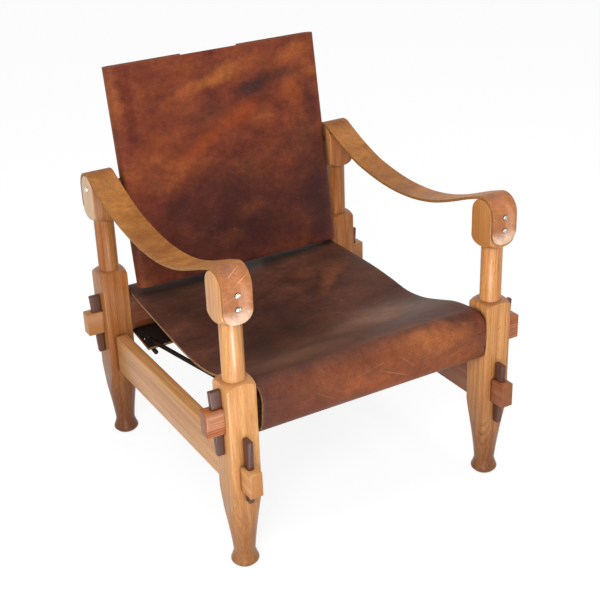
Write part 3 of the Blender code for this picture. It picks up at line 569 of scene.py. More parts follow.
def with_scuffs(tree, flat, colour, tone, strength):
    """Draw short pale lines in three directions, in patches only."""
    line = None
    for turn in SCUFF_TURNS:
        slant = shade(tree, "Mapping", {"Vector": flat, "Rotation": (0.0, 0.0, math.radians(turn)),
                                        "Scale": (1 / SCUFF_LENGTH, 1 / SCUFF_WIDTH, 1.0)}).outputs[0]
        dash = shade(tree, "TexNoise", {"Vector": slant, "Scale": 1.0, "Detail": 1.5,
                                        "Distortion": 0.4}).outputs["Fac"]
        dash = shade(tree, "MapRange", {"Value": dash, "From Min": 0.66, "From Max": 0.78}).outputs[0]
        line = shade(tree, "Math", {0: line, 1: dash}, operation="MAXIMUM").outputs[0] if line else dash
    patches = shade(tree, "TexNoise", {"Vector": flat, "Scale": 26.0, "Detail": 3.0}).outputs["Fac"]
    patches = shade(tree, "MapRange", {"Value": patches, "From Min": 0.44, "From Max": 0.62,
                                       "To Max": strength}).outputs[0]
    line = shade(tree, "Math", {0: line, 1: patches}, operation="MULTIPLY").outputs[0]
    return shade(tree, "Mix", {FACTOR: line, FIRST: colour, SECOND: ink(tone)},
                 data_type="RGBA").outputs[MIXED]


print("scuffs run in", len(SCUFF_TURNS), "directions")

# %% Wax and grain the hide
def leather(name, tones, streak_turn, mottle, clouds, marks, scuff, rough=(0.44, 0.60), grain=0.16):
    """Waxed saddle leather: cloudy colour, placed marks, pale scuffs, a pebbled surface and a soft shine."""
    material, tree, skin = fresh(name)
    flat = shade(tree, "Attribute", attribute_name=FLAT_PLACE).outputs["Vector"]
    stretch = shade(tree, "Mapping", {"Vector": flat, "Rotation": (0.0, 0.0, math.radians(-streak_turn)),
                                      "Scale": (1 / mottle, 1.7 / mottle, 1.0)}).outputs[0]
    drift = shade(tree, "TexNoise", {"Vector": stretch, "Scale": 1.0, "Detail": 6.0, "Roughness": 0.62,
                                     "Distortion": 0.15}).outputs["Fac"]
    colour = shade(tree, "ValToRGB", {"Fac": drift}, stops=tones).outputs[0]
    colour = with_clouds(tree, flat, colour, clouds, marks)
    colour = with_speckle(tree, flat, colour, grain)
    colour = with_scuffs(tree, flat, colour, *scuff)
    shine = shade(tree, "MapRange", {"Value": drift, "From Min": 0.3, "From Max": 0.7, "To Min": rough[0],
                                     "To Max": rough[1]}).outputs[0]
    pebble = shade(tree, "TexVoronoi", {"Vector": flat, "Scale": 1 / PEBBLE}, feature="SMOOTH_F1",
                   voronoi_dimensions="2D").outputs["Distance"]
    hills = shade(tree, "TexNoise", {"Vector": flat, "Scale": 70.0, "Detail": 4.0}).outputs["Fac"]
    low = shade(tree, "Bump", {"Height": hills, "Strength": 0.45, "Distance": 0.0011}).outputs[0]
    high = shade(tree, "Bump", {"Height": pebble, "Strength": 0.25, "Distance": 0.00025, "Normal": low},
                 invert=True).outputs[0]
    plug(tree, skin, {"Base Color": corner_shade_and_dust(tree, colour, LEATHER_SHADE_AND_DUST_REACH, LEATHER_SHADE_AND_DUST),
                      "Roughness": shine, "Specular IOR Level": LEATHER_GLOSS, "Normal": high,
                      "Sheen Weight": LEATHER_SHEEN, "Sheen Tint": ink(SHEEN_TONE),
                      "Sheen Roughness": SHEEN_ROUGH})
    return material


print("leather patterns read the flat place:", FLAT_PLACE)

# %% [markdown]
# ## The hides of the back and the seat
#
# The photograph's back is a warm red-brown with dark clouds in its lower half and a few orange ones above.
# The seat is darker, and its front roll is worn to cognac. Noise alone would put such clouds anywhere, so
# the large ones are placed one by one in the flat sheet, and the noise fills in between.

# %% Choose the hides
# Each cloud and mark: its tone, how strongly it covers, its centre, its half sizes and its turn
BACK_GRAIN = leather("waxed_saddle_leather_back",
                     [(0.27, "#4C241D"), (0.42, "#6C3122"), (0.56, "#824026"), (0.74, "#A05A2C")], 18, 0.11,
                     [("#371B1C", 0.84, (0.010, -0.125), (0.300, 0.140), 4),
                      ("#42211E", 0.60, (-0.004, -0.035), (0.150, 0.060), 10),
                      ("#341C1F", 0.75, (0.178, -0.090), (0.060, 0.190), 0),
                      ("#452320", 0.60, (0.145, 0.015), (0.070, 0.045), 20),
                      ("#34201F", 0.80, (0.066, 0.128), (0.056, 0.022), 18),
                      ("#3C2220", 0.60, (0.128, 0.136), (0.075, 0.020), 6),
                      ("#4A2420", 0.60, (-0.035, 0.094), (0.060, 0.028), 22),
                      ("#4B2620", 0.55, (0.183, 0.080), (0.020, 0.065), 0),
                      ("#3A1D1C", 0.50, (-0.120, -0.075), (0.060, 0.050), 10),
                      ("#A65E2E", 0.80, (0.000, 0.156), (0.070, 0.020), 10),
                      ("#A1562B", 0.65, (-0.066, 0.139), (0.060, 0.020), 14),
                      ("#96431F", 0.70, (0.036, 0.078), (0.060, 0.030), 26),
                      ("#94431F", 0.70, (-0.050, 0.036), (0.080, 0.022), 28),
                      ("#8C4422", 0.60, (-0.148, 0.060), (0.045, 0.030), 8),
                      ("#9A4E25", 0.70, (0.146, 0.100), (0.032, 0.038), 60),
                      ("#A1582C", 0.65, (0.155, 0.176), (0.060, 0.026), 8),
                      ("#6E3A24", 0.55, (0.036, -0.096), (0.055, 0.026), 10),
                      ("#6A3822", 0.50, (-0.018, -0.142), (0.050, 0.022), 8),
                      ("#7C4628", 0.50, (-0.143, -0.018), (0.034, 0.026), 0),
                      # A pale strip and a dark line along the left upright: painted highlight and painted
                      # shadow of the leather's turn
                      ("#93512A", 0.70, (-0.204, 0.150), (0.018, 0.080), 0),
                      ("#5A2419", 0.75, (-0.180, 0.130), (0.020, 0.090), 0),
                      ("#562718", 0.75, (-0.176, -0.140), (0.085, 0.100), 0)],
                     [], ("#B0714A", 0.40))
SEAT_GRAIN = leather("waxed_saddle_leather_seat",
                     [(0.28, "#381F19"), (0.44, "#4A2A21"), (0.58, "#5A3327"), (0.74, "#704632")], 65, 0.13,
                     # The first, near-black cloud is a painted shadow under the back's lower edge
                     [("#0C0605", 0.95, (0.000, 0.222), (0.260, 0.036), 0),
                      ("#341D19", 0.65, (-0.050, 0.450), (0.170, 0.140), 0),
                      ("#341D18", 0.60, (-0.145, 0.310), (0.080, 0.100), 0),
                      ("#80492E", 0.65, (0.128, 0.350), (0.023, 0.095), 50),
                      ("#71422C", 0.50, (0.085, 0.310), (0.040, 0.030), 0),
                      # The next two pale clouds are painted sheen on the seat
                      ("#866554", 0.70, (0.105, 0.540), (0.115, 0.070), 0),
                      ("#684536", 0.45, (-0.095, 0.630), (0.130, 0.050), 0),
                      ("#8A4B2E", 0.95, (0.010, 0.738), (0.330, 0.078), 0),
                      ("#6A3226", 0.60, (-0.150, 0.760), (0.090, 0.040), 10),
                      # This cloud is a painted highlight on the right of the front roll, over its cognac tone
                      ("#AC663A", 0.70, (0.110, 0.706), (0.100, 0.030), 4),
                      ("#A25832", 0.60, (0.155, 0.752), (0.085, 0.036), 0),
                      ("#9C5230", 0.55, (-0.010, 0.748), (0.110, 0.024), 6),
                      ("#7C3B2A", 0.65, (0.205, 0.715), (0.022, 0.050), 0),
                      ("#5C3026", 0.60, (-0.190, 0.715), (0.050, 0.060), 0)],
                     [("#C78E60", 0.60, (0.030, 0.742), (0.034, 0.0006), 24),
                      ("#C78E60", 0.50, (0.055, 0.728), (0.026, 0.0005), 41),
                      ("#B98055", 0.45, (-0.020, 0.722), (0.040, 0.0005), -12),
                      ("#B98055", 0.40, (-0.100, 0.745), (0.028, 0.0005), 33),
                      ("#C89468", 0.45, (0.160, 0.735), (0.024, 0.0005), -28)], ("#B07A52", 0.45))
print("hides:", BACK_GRAIN.name, SEAT_GRAIN.name)

# %% [markdown]
# ## The other side of the leather
#
# Only the skin side of a hide takes a shine. Its flesh side is a matt, felted nap, near black here from
# wax and dust, and it shows on the flaps below the seat. The cut edge shows the raw middle of the hide, a
# pale tan on the broad sheets, which was burnished dark on the arms.

# %% Flesh side, cut edges and laces
def plain_hide(name, dark, light, size, rough, depth):
    """Matt hide with a short, felted or burnished surface: two tones, no shine, a little tooth."""
    material, tree, skin = fresh(name)
    where = shade(tree, "TexCoord").outputs["Object"]
    felt = shade(tree, "TexNoise", {"Vector": where, "Scale": 1 / size, "Detail": 5.0}).outputs["Fac"]
    tone = shade(tree, "ValToRGB", {"Fac": felt}, stops=[(0.35, dark), (0.68, light)]).outputs[0]
    bump = shade(tree, "Bump", {"Height": felt, "Strength": 0.4, "Distance": depth}).outputs[0]
    plug(tree, skin, {"Base Color": tone, "Roughness": rough, "Specular IOR Level": LEATHER_GLOSS,
                      "Normal": bump})
    return material


FLESH_SIDE = plain_hide("leather_flesh_side", "#1B1310", "#33241D", 0.004, 0.8, 0.0003)
RAW_EDGE = plain_hide("leather_cut_edge", "#7E563A", "#B58C62", 0.003, 0.6, 0.0002)
BURNISHED_EDGE = plain_hide("leather_burnished_edge", "#8A5A30", "#B88448", 0.003, 0.55, 0.0002)
BACK_FLESH = plain_hide("brown_leather_flesh_side", "#6E402A", "#8F5738", 0.004, 0.75, 0.0003)
BACK_EDGE = plain_hide("brown_leather_cut_edge", "#6B3B26", "#9C6444", 0.003, 0.6, 0.0002)
STRAP_FLESH = plain_hide("tan_leather_flesh_side", "#8C5C32", "#B58450", 0.003, 0.75, 0.0003)
WASHER_HIDE = plain_hide("dark_brown_leather_washer", "#4A2A1E", "#6B3F2A", 0.003, 0.6, 0.0002)
LACE_HIDE = plain_hide("near_black_leather_lace", "#17110F", "#33251F", 0.005, 0.5, 0.0003)
print("plain hides:", FLESH_SIDE.name, RAW_EDGE.name, LACE_HIDE.name)

# %% [markdown]
# ## Nickel
#
# The screws, their cup washers and the pivot bolts are brass plated with nickel: a warm grey metal, a
# little dulled. Tiny scratches from the screwdriver show as a change in roughness, not in colour.

# %% Nickel plate
# The lip of a cup washer is darkened: tarnish, and painted shade in the crease against the leather
TARNISH_AND_SHADE_DEPTH = 0.0007


def nickel_plate(name, tarnish_and_shade_end=0.0):
    """Dulled nickel, which gives a bright, warm glint with a soft edge, and is darkened near the leather by
    tarnish and painted shade.
    """
    material, tree, skin = fresh(name)
    where = shade(tree, "TexCoord").outputs["Object"]
    dull = shade(tree, "TexNoise", {"Vector": where, "Scale": 900.0, "Detail": 2.0}).outputs["Fac"]
    tone = shade(tree, "ValToRGB", {"Fac": dull}, stops=[(0.35, "#C4BFB4"), (0.65, "#EEEAE0")]).outputs[0]
    rough = shade(tree, "MapRange", {"Value": dull, "To Min": 0.18, "To Max": 0.42}).outputs[0]
    if tarnish_and_shade_end:
        out = shade(tree, "SeparateXYZ", {"Vector": where}).outputs["Y"]
        out = shade(tree, "Math", {0: out}, operation="ABSOLUTE").outputs[0]
        unshaded = shade(tree, "MapRange", {"Value": out, "From Min": tarnish_and_shade_end - TARNISH_AND_SHADE_DEPTH,
                                         "From Max": tarnish_and_shade_end, "To Min": 0.10}).outputs[0]
        tone = shade(tree, "VectorMath", {0: tone, 3: unshaded}, operation="SCALE").outputs[0]
    plug(tree, skin, {"Base Color": tone, "Roughness": rough, "Metallic": 1.0})
    return material


NICKEL = nickel_plate("dulled_nickel_plate")
print("tarnish starts", TARNISH_AND_SHADE_DEPTH * 1000, "mm below the rim")

# %% [markdown]
# ## Tools for making pieces
#
# Every piece is built as a woodworker or saddler would: a blank is sawn, turned, cut and eased. Blender's
# modifiers do those jobs, and once a piece is right they are applied, so that the mesh itself is the
# result. A cutter is thrown away after use.

# %% Blanks and cutters
SAME_POINT = 0.000005
HOLE_STEPS = 24
CUTTERS = []


def thing_from(name, bm, cutter=False):
    """Turn a bmesh into an object, and remember it if it's only a cutter."""
    bmesh.ops.recalc_face_normals(bm, faces=bm.faces)
    mesh = bpy.data.meshes.new(name)
    bm.to_mesh(mesh)
    bm.free()
    thing = stand(name, mesh)
    if cutter:
        CUTTERS.append(thing)
    return thing


def box_between(low, high):
    """A bmesh box between two corners."""
    bm = bmesh.new()
    bmesh.ops.create_cube(bm, size=1)
    bmesh.ops.scale(bm, verts=bm.verts, vec=Vector(high) - Vector(low))
    bmesh.ops.translate(bm, verts=bm.verts, vec=(Vector(high) + Vector(low)) / 2)
    return bm


def rod_between(bm, start, end, radius, steps):
    """Add a cylinder to a bmesh."""
    start, end = Vector(start), Vector(end)
    turn = (end - start).to_track_quat("Z", "Y").to_matrix().to_4x4()
    bmesh.ops.create_cone(bm, cap_ends=True, segments=steps, radius1=radius, radius2=radius,
                          depth=(end - start).length, matrix=Matrix.Translation((start + end) / 2) @ turn)


def round_edges(bm, width, segments, axis, along):
    """Bevel the edges of a box that run along an axis, or else the edges that run across it."""
    edges = [e for e in bm.edges if (abs((e.verts[1].co - e.verts[0].co)[axis]) > SAME_POINT) == along]
    bmesh.ops.bevel(bm, geom=edges, offset=width, segments=segments, profile=0.5, affect="EDGES")


def prism(name, outline, low, high, cutter=False):
    """A flat outline of (y, z) points, made solid from one x to another."""
    bm = bmesh.new()
    face = bm.faces.new([bm.verts.new((low, y, z)) for y, z in outline])
    swept = bmesh.ops.extrude_face_region(bm, geom=[face])
    moved = [v for v in swept["geom"] if isinstance(v, bmesh.types.BMVert)]
    bmesh.ops.translate(bm, verts=moved, vec=(high - low, 0.0, 0.0))
    return thing_from(name, bm, cutter)


def lathe(name, profile, steps, cutter=False):
    """Turn (radius, height) points about the Z axis into a closed body."""
    bm = bmesh.new()
    chain = [bm.verts.new((radius, 0.0, height)) for radius, height in profile]
    edges = [bm.edges.new(pair) for pair in zip(chain, chain[1:])]
    bmesh.ops.spin(bm, geom=chain + edges, cent=(0, 0, 0), axis=(0, 0, 1), angle=math.tau, steps=steps,
                   use_merge=True)
    bmesh.ops.remove_doubles(bm, verts=bm.verts, dist=SAME_POINT)
    return thing_from(name, bm, cutter)


print("cutters waiting:", len(CUTTERS))

# %% Cut, ease and finish
def combine(thing, tool, operation):
    """Cut, join or intersect a piece with another shape."""
    boolean = thing.modifiers.new(operation.lower(), "BOOLEAN")
    boolean.operation = operation
    boolean.object = tool


def ease(thing, width, segments=2, degrees=30):
    """Round the sharp edges of a piece."""
    bevel = thing.modifiers.new("ease", "BEVEL")
    bevel.width = width
    bevel.segments = segments
    bevel.limit_method = "ANGLE"
    bevel.angle_limit = math.radians(degrees)


def as_modified(thing):
    """A piece as its modifiers leave it."""
    bpy.context.view_layer.update()
    return thing.evaluated_get(bpy.context.evaluated_depsgraph_get())


def settle(thing, smooth_below=40):
    """Apply a piece's place and modifiers, and shade it smooth but for its sharp edges."""
    mesh = bpy.data.meshes.new_from_object(as_modified(thing))
    thing.modifiers.clear()
    thing.data = mesh
    mesh.transform(thing.matrix_world)
    thing.matrix_world = Matrix.Identity(4)
    mesh.shade_smooth()
    mesh.set_sharp_from_angle(angle=math.radians(smooth_below))
    return thing


def dress(thing, body, finish, slot, *nodes):
    """Give a finished piece its material and its body, and hide the nodes that it stands for; its slot is not
    used.
    """
    thing.data.name = thing.name
    if finish:
        thing.data.materials.clear()
        thing.data.materials.append(finish)
    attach(thing, body)
    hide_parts(*nodes)
    return thing


def clear_cutters():
    """Throw the cutters away."""
    while CUTTERS:
        bpy.data.objects.remove(CUTTERS.pop())


print("nodes to dress:", len(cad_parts))

# %% Arcs and smooth curves
def arc(centre, radius, start, end, count, high=None):
    """Points on an arc, or on an ellipse if it has a second radius."""
    high = high or radius
    angles = [start + (end - start) * i / count for i in range(count + 1)]
    return [(centre[0] + radius * math.cos(a), centre[1] + high * math.sin(a)) for a in angles]


def smooth(points, count):
    """A smooth curve through points, with a number of steps between each two."""
    points = [Vector(point) for point in points]
    ends = [points[0] * 2 - points[1], *points, points[-1] * 2 - points[-2]]
    curve = []
    for i in range(1, len(ends) - 2):
        before, start, end, after = ends[i - 1:i + 3]
        for step in range(count):
            t = step / count
            curve.append(start + ((end - before) * t
                                  + (before * 2 - start * 5 + end * 4 - after) * t * t
                                  + (start * 3 - before - end * 3 + after) * t ** 3) / 2)
    return curve + [points[-1]]


print("a half circle in 8 steps:", len(arc((0, 0), 1, 0, math.pi, 8)), "points")

# %% [markdown]
# ## Turned posts
#
# A post starts as a square blank with a round top. On the lathe its corners are cut away: the neck becomes
# a dowel, the block keeps its flats under a rounded shoulder, and the leg swells out of a turned foot.
# Where the round meets the flats, the lathe leaves the arched lines that make this chair. Intersecting the
# blank with a turned body makes the same lines, where modelling them by hand would only come near.

# %% Sizes of the posts
FIT = 0.0003
OVERRUN = 0.004
POST_SIDE = 0.050
POST_HALF = POST_SIDE / 2
POST_EDGE = 0.002
SOLE_RADIUS = 0.018
BULB_RADIUS = 0.023
BULB_Z = 0.0065
ANKLE_RADIUS = 0.0176
ANKLE_Z = 0.024
LEG_SWELL_TOP = 0.158
LEG_SWELL_POWER = 1.25
LEG_SWELL_STEPS = 24
SHOULDER_ROUND = 0.020
DOWEL_FOOT = 0.3384
DOWEL_RADIUS = 0.018
HEAD_NECK_DROP = 0.0567
BOWL_HEIGHT = 0.0185
HEAD_Z = 0.4945
DOWEL_TOP = HEAD_Z - HEAD_NECK_DROP
HEAD_TOP = HEAD_Z + POST_HALF
LATHE_STEPS = 96
POST_CORNER = POST_HALF * math.sqrt(2)
INNER_FACE_X = POST_X - POST_HALF
OUTER_FACE_X = POST_X + POST_HALF
OUTER_FACE_Y = POST_Y + POST_HALF
TENON_HEIGHT = 0.042
TENON_THICKNESS = 0.022
CROSS_TENON_Z = 0.275
REAR_RAIL_DROP = 0.035
SIDE_RAIL_Z = 0.175
SIDE_RAIL_THICKNESS = 0.022
# A joint that was knocked together and apart for years shows a dark line round its tenon
MORTISE_WEAR = 0.0004
MORTISE_EDGE = 0.0006
CORNERS = {"front_left": (-1, -1), "front_right": (1, -1), "rear_left": (-1, 1), "rear_right": (1, 1)}
SIDES = {"left": -1, "right": 1}
print("post:", POST_SIDE * 1000, "mm square and", round(HEAD_TOP * 1000, 1), "mm high")

# %% Draw the turned outline
def cross_tenon_z(end):
    """The height of a cross rail's tenon: the rear rail lies lower."""
    return CROSS_TENON_Z if end < 0 else CROSS_TENON_Z - REAR_RAIL_DROP


def leg_profile():
    """The turned outline of a post, from the top down: radius and height."""
    clear = POST_CORNER + OVERRUN
    bowl_z = DOWEL_TOP + BOWL_HEIGHT
    bowl = arc((DOWEL_RADIUS, bowl_z), POST_CORNER - DOWEL_RADIUS, 0.0, -math.pi / 2, 14, BOWL_HEIGHT)
    shoulder_z = DOWEL_FOOT - SHOULDER_ROUND
    shoulder = arc((DOWEL_RADIUS, shoulder_z), SHOULDER_ROUND, math.pi / 2, 0.0, 14)
    swell = []
    for step in range(LEG_SWELL_STEPS, 0, -1):
        share = step / LEG_SWELL_STEPS
        radius = ANKLE_RADIUS + (POST_CORNER + POST_EDGE - ANKLE_RADIUS) * share ** LEG_SWELL_POWER
        swell.append((radius, ANKLE_Z + (LEG_SWELL_TOP - ANKLE_Z) * share))
    bulb = smooth([(ANKLE_RADIUS, ANKLE_Z),
                   ((ANKLE_RADIUS + BULB_RADIUS) / 2, (ANKLE_Z + BULB_Z) / 2),
                   (BULB_RADIUS, BULB_Z), (SOLE_RADIUS, 0.0)], 8)
    return [(0.0, HEAD_TOP + OVERRUN), (clear, HEAD_TOP + OVERRUN), (clear, bowl_z), *bowl,
            *shoulder, (clear, shoulder_z), (clear, LEG_SWELL_TOP), *swell,
            *[tuple(point) for point in bulb], (0.0, 0.0)]


print("points in the outline:", len(leg_profile()))

# %% Turn the posts
def make_post(corner, side, end):
    """One post: the blank, its turning, and its two mortises."""
    outline = [(-POST_HALF, 0.0), (POST_HALF, 0.0), *arc((0.0, HEAD_Z), POST_HALF, 0.0, math.pi, 40)]
    post = prism("turned_post_" + corner, outline, -POST_HALF, POST_HALF)
    ease(post, POST_EDGE, 4, 40)
    combine(post, lathe("turning", leg_profile(), LATHE_STEPS, cutter=True), "INTERSECT")
    reach = POST_HALF + OVERRUN
    wide = FIT + MORTISE_WEAR
    cross = Vector((reach, TENON_THICKNESS / 2 + wide, TENON_HEIGHT / 2 + wide))
    along = Vector((SIDE_RAIL_THICKNESS / 2 + wide, reach, TENON_HEIGHT / 2 + wide))
    for half, z in ((cross, cross_tenon_z(end)), (along, SIDE_RAIL_Z)):
        middle = Vector((0.0, 0.0, z))
        mortise = thing_from("mortise", box_between(middle - half, middle + half), cutter=True)
        combine(post, mortise, "DIFFERENCE")
    ease(post, MORTISE_EDGE, 2, 35)
    settle(post, 50)
    post.data.transform(Matrix.Translation((side * POST_X, end * POST_Y, 0.0)))
    clear_cutters()
    return dress(post, "frame", OAKS["post_" + corner], "oak", "post_" + corner)


for corner, (side, end) in CORNERS.items():
    post = make_post(corner, side, end)
print("faces in one post:", len(post.data.polygons))

# %% [markdown]
# ## Rails and their long tenons
#
# Each rail passes right through its posts. The tenon that stands proud has eased tips, and a tapered slot
# close to the post's face, which the wedge draws tight. The cross rails are thick, with round long edges
# that the leather lies on. The side rails are plain boards on edge.

# %% Sizes of the rails and wedges
TENON_EDGE = 0.0025
CROSS_TENON_PROUD = 0.031
CROSS_RAIL_HEIGHT = 0.080
CROSS_RAIL_THICKNESS = 0.046
CROSS_RAIL_ROUND = 0.022
CROSS_RAIL_LIFT = 0.0067
CROSS_RAIL_HALF = CROSS_RAIL_THICKNESS / 2
SIDE_TENON_PROUD = 0.032
SIDE_RAIL_HEIGHT = 0.073
RAIL_EDGE = 0.0016
WEDGE_LENGTH = 0.114
WEDGE_THICKNESS = 0.009
WEDGE_TOP_WIDTH = 0.019
WEDGE_FOOT_WIDTH = 0.0117
WEDGE_RISE = 0.052
PROUD_WEDGE_RISE = 0.019
WEDGE_EDGE = 0.0015
SLOT_RELIEF = 0.003
SLOT_EDGE = 0.0004
print("cross rail:", CROSS_RAIL_HEIGHT * 1000, "by", CROSS_RAIL_THICKNESS * 1000, "mm")

# %% Place the wedges and their slots
def wedge_rise(corner, rail):
    """How far a wedge stands above its usual place: one was knocked in less far."""
    return PROUD_WEDGE_RISE if (corner, rail) == ("front_left", "side") else 0.0


def wedge_place(corner, rail):
    """Where a wedge stands: its face on the post, its tenon's height and its turn."""
    side, end = CORNERS[corner]
    if rail == "cross":
        spot = Vector((side * OUTER_FACE_X, end * POST_Y, cross_tenon_z(end)))
        return Matrix.Translation(spot) @ Matrix.Rotation(math.radians(-90 * side), 4, "Z")
    spot = Vector((side * POST_X, end * OUTER_FACE_Y, SIDE_RAIL_Z))
    return Matrix.Translation(spot) @ Matrix.Rotation(math.radians(90 - 90 * end), 4, "Z")


def wedge_slot(corner, rail):
    """The cutter of a wedge's slot, which starts inside the post's face."""
    rise, reach = wedge_rise(corner, rail), TENON_HEIGHT / 2 + OVERRUN
    foot = WEDGE_RISE + rise - WEDGE_LENGTH
    taper = (WEDGE_TOP_WIDTH - WEDGE_FOOT_WIDTH) / WEDGE_LENGTH
    low, high = (FIT * 2 + WEDGE_FOOT_WIDTH + (z - foot) * taper for z in (-reach, reach))
    outline = [(-SLOT_RELIEF, -reach), (low, -reach), (high, reach), (-SLOT_RELIEF, reach)]
    half = WEDGE_THICKNESS / 2 + FIT
    slot = prism("slot", outline, -half, half, cutter=True)
    slot.matrix_world = wedge_place(corner, rail)
    return slot


print("the proud wedge stands", PROUD_WEDGE_RISE * 1000, "mm above the others")

# %% Make the rails
def make_rail(name, kind, low_corner, high_corner, tenon, body, body_lift, round_off, segments):
    """A rail: a tenon bar right through, a thicker body between the posts, and two slots."""
    long_way = 0 if kind == "cross" else 1
    middle = (Vector(low_corner) + Vector(high_corner)) / 2
    bar = box_between(middle - tenon, middle + tenon)
    round_edges(bar, TENON_EDGE, 4, long_way, along=False)
    rail = thing_from(name, bar)
    lifted = middle + Vector((0.0, 0.0, body_lift))
    beam = box_between(lifted - body, lifted + body)
    round_edges(beam, round_off, segments, long_way, along=True)
    combine(rail, thing_from("beam", beam, cutter=True), "UNION")
    for corner, (side, end) in CORNERS.items():
        if (end if kind == "cross" else side) * middle[1 - long_way] > 0:
            combine(rail, wedge_slot(corner, kind), "DIFFERENCE")
    ease(rail, SLOT_EDGE, 2, 50)
    settle(rail, 35)
    clear_cutters()
    return rail


for name, end in (("front", -1), ("rear", 1)):
    rail = make_rail("through_rail_" + name, "cross",
                     (-OUTER_FACE_X, end * POST_Y, cross_tenon_z(end)),
                     (OUTER_FACE_X, end * POST_Y, cross_tenon_z(end)),
                     Vector((OUTER_FACE_X + CROSS_TENON_PROUD, TENON_THICKNESS / 2, TENON_HEIGHT / 2)),
                     Vector((INNER_FACE_X - FIT, CROSS_RAIL_HALF, CROSS_RAIL_HEIGHT / 2)),
                     CROSS_RAIL_LIFT, CROSS_RAIL_ROUND, 10)
    dress(rail, "frame", OAKS["cross_rail_" + name], "oak", "cross_rail_" + name)
for name, side in SIDES.items():
    rail = make_rail("board_rail_" + name, "side",
                     (side * POST_X, -OUTER_FACE_Y, SIDE_RAIL_Z), (side * POST_X, OUTER_FACE_Y, SIDE_RAIL_Z),
                     Vector((SIDE_RAIL_THICKNESS / 2, OUTER_FACE_Y + SIDE_TENON_PROUD, TENON_HEIGHT / 2)),
                     Vector((SIDE_RAIL_THICKNESS / 2, POST_Y - POST_HALF - FIT, SIDE_RAIL_HEIGHT / 2)),
                     0.0, RAIL_EDGE, 3)
    dress(rail, "frame", OAKS["side_rail_" + name], "oak", "side_rail_" + name)
print("faces in one rail:", len(rail.data.polygons))

# %% [markdown]
# ## Wedges
#
# A wedge is a thin slip of hardwood, wider at the top. Its corners are rounded, because it is struck with
# a mallet. Every wedge is a body of its own in the frame, so each one rides on its own body.

# %% Make the wedges
for corner in CORNERS:
    for rail in ("cross", "side"):
        node = "wedge_" + corner + "_" + rail
        top = WEDGE_RISE + wedge_rise(corner, rail)
        foot = top - WEDGE_LENGTH
        outline = [(FIT, foot), (FIT + WEDGE_FOOT_WIDTH, foot), (FIT + WEDGE_TOP_WIDTH, top), (FIT, top)]
        wedge = prism("driven_" + node, outline, -WEDGE_THICKNESS / 2, WEDGE_THICKNESS / 2)
        ease(wedge, WEDGE_EDGE, 4)
        wedge.matrix_world = wedge_place(corner, rail)
        settle(wedge, 60)
        dress(wedge, node, WEDGE_WOOD, "wedge_wood", node)
print("wedge from", round(foot * 1000, 1), "to", round(top * 1000, 1), "mm about its tenon")

# %% [markdown]
# ## A sheet of leather
#
# Leather doesn't stretch like cloth, so a simulation would only make it look soft. Each sheet is a grid of
# points on its flesh side that follows a line drawn from the side, and then gets its thickness outward.
# The grid keeps each point's flat place, and the sheet gets three finishes: flesh, grain and cut edge. Slow
# swells of a millimetre or so in its free span keep it from looking like sheet metal.

# %% The sheet maker
LEATHER_EDGE = 0.0007


def running_length(points):
    """The distance along a line of points, at each point."""
    lengths = [0.0]
    for a, b in zip(points, points[1:]):
        lengths.append(lengths[-1] + (Vector(b) - Vector(a)).length)
    return lengths


def leather_sheet(name, rows, flats, thickness, finishes, waves, cutter=None):
    """A closed sheet from rows of points, with its flat places, gentle waves and three finishes."""
    bm = bmesh.new()
    flat = bm.loops.layers.uv.new(FLAT_PLACE)
    grid = [[bm.verts.new(point) for point in row] for row in rows]
    for row, following in zip(grid, grid[1:]):
        for a, b, c, d in zip(row, row[1:], following[1:], following):
            bm.faces.new((a, b, c, d))
    bm.normal_update()
    places = {vert: Vector(place) for row, flat_row in zip(grid, flats) for vert, place in zip(row, flat_row)}
    for face in bm.faces:
        for loop in face.loops:
            loop[flat].uv = places[loop.vert]
    for vert in bm.verts:
        vert.co += vert.normal * waves(vert.co, places[vert])
    mesh = bpy.data.meshes.new(name)
    bm.to_mesh(mesh)
    bm.free()
    for finish in finishes:
        mesh.materials.append(finish)
    sheet = stand(name, mesh)
    solid = sheet.modifiers.new("thickness", "SOLIDIFY")
    solid.thickness = thickness
    solid.offset = -1
    solid.use_even_offset = True
    solid.material_offset = 1
    solid.material_offset_rim = 2
    if cutter:
        combine(sheet, cutter, "DIFFERENCE")
    ease(sheet, LEATHER_EDGE, 2, 50)
    settle(sheet, 45)
    return sheet


print("cut edges of leather eased by", LEATHER_EDGE * 1000, "mm")

# %% Swells in a sheet
SWELL_FADE = 0.05


def swells(height, still_beyond, ripples, seed, off_centre):
    """Slow swells of a sheet's free span, always outward, that fade out before what carries it."""
    def wave(spot, flat):
        free = min(1.0, max(0.0, (still_beyond - off_centre(spot)) / SWELL_FADE))
        return -height * free * (1 + noise.noise(Vector((flat.x * ripples[0], flat.y * ripples[1], seed))))
    return wave


print("swells fade out over", SWELL_FADE * 1000, "mm")

# %% [markdown]
# ## The seat
#
# One wide sheet hangs between the cross rails. It has been sat in for decades, so its left edge sags more
# than its right one, and it rolls over the front rail in a round nose. Under the chair its two flaps are
# pulled together by a thong. The two edge lines are drawn with arcs round the rails and a few sag shares,
# and every line between them is a blend of the two.

# %% Lines of the seat
SEAT_LEATHER = 0.0047
SEAT_HALF = 0.212
SEAT_SAG_LEFT = 0.050
SEAT_SAG_RIGHT = 0.030
SEAT_SAG_LEFT_SHARES = (0.26, 0.45, 0.62, 0.80, 0.94, 1.00, 0.94, 0.74, 0.33)
SEAT_SAG_RIGHT_SHARES = (0.09, 0.23, 0.34, 0.48, 0.70, 0.97, 0.90, 0.55, 0.12)
SEAT_HUG_LEFT = math.radians(22)
SEAT_HUG_RIGHT = math.radians(5)
SEAT_NOSE_ROUND = 0.027
SEAT_FLAP_REACH = 0.075
REAR_FLAP_DROP = 0.0085
FRONT_FLAP_DROP = 0.019
SEAT_COLUMNS = 53
SEAT_FLAP_STEPS = 8
QUARTER_TURN = math.pi / 2


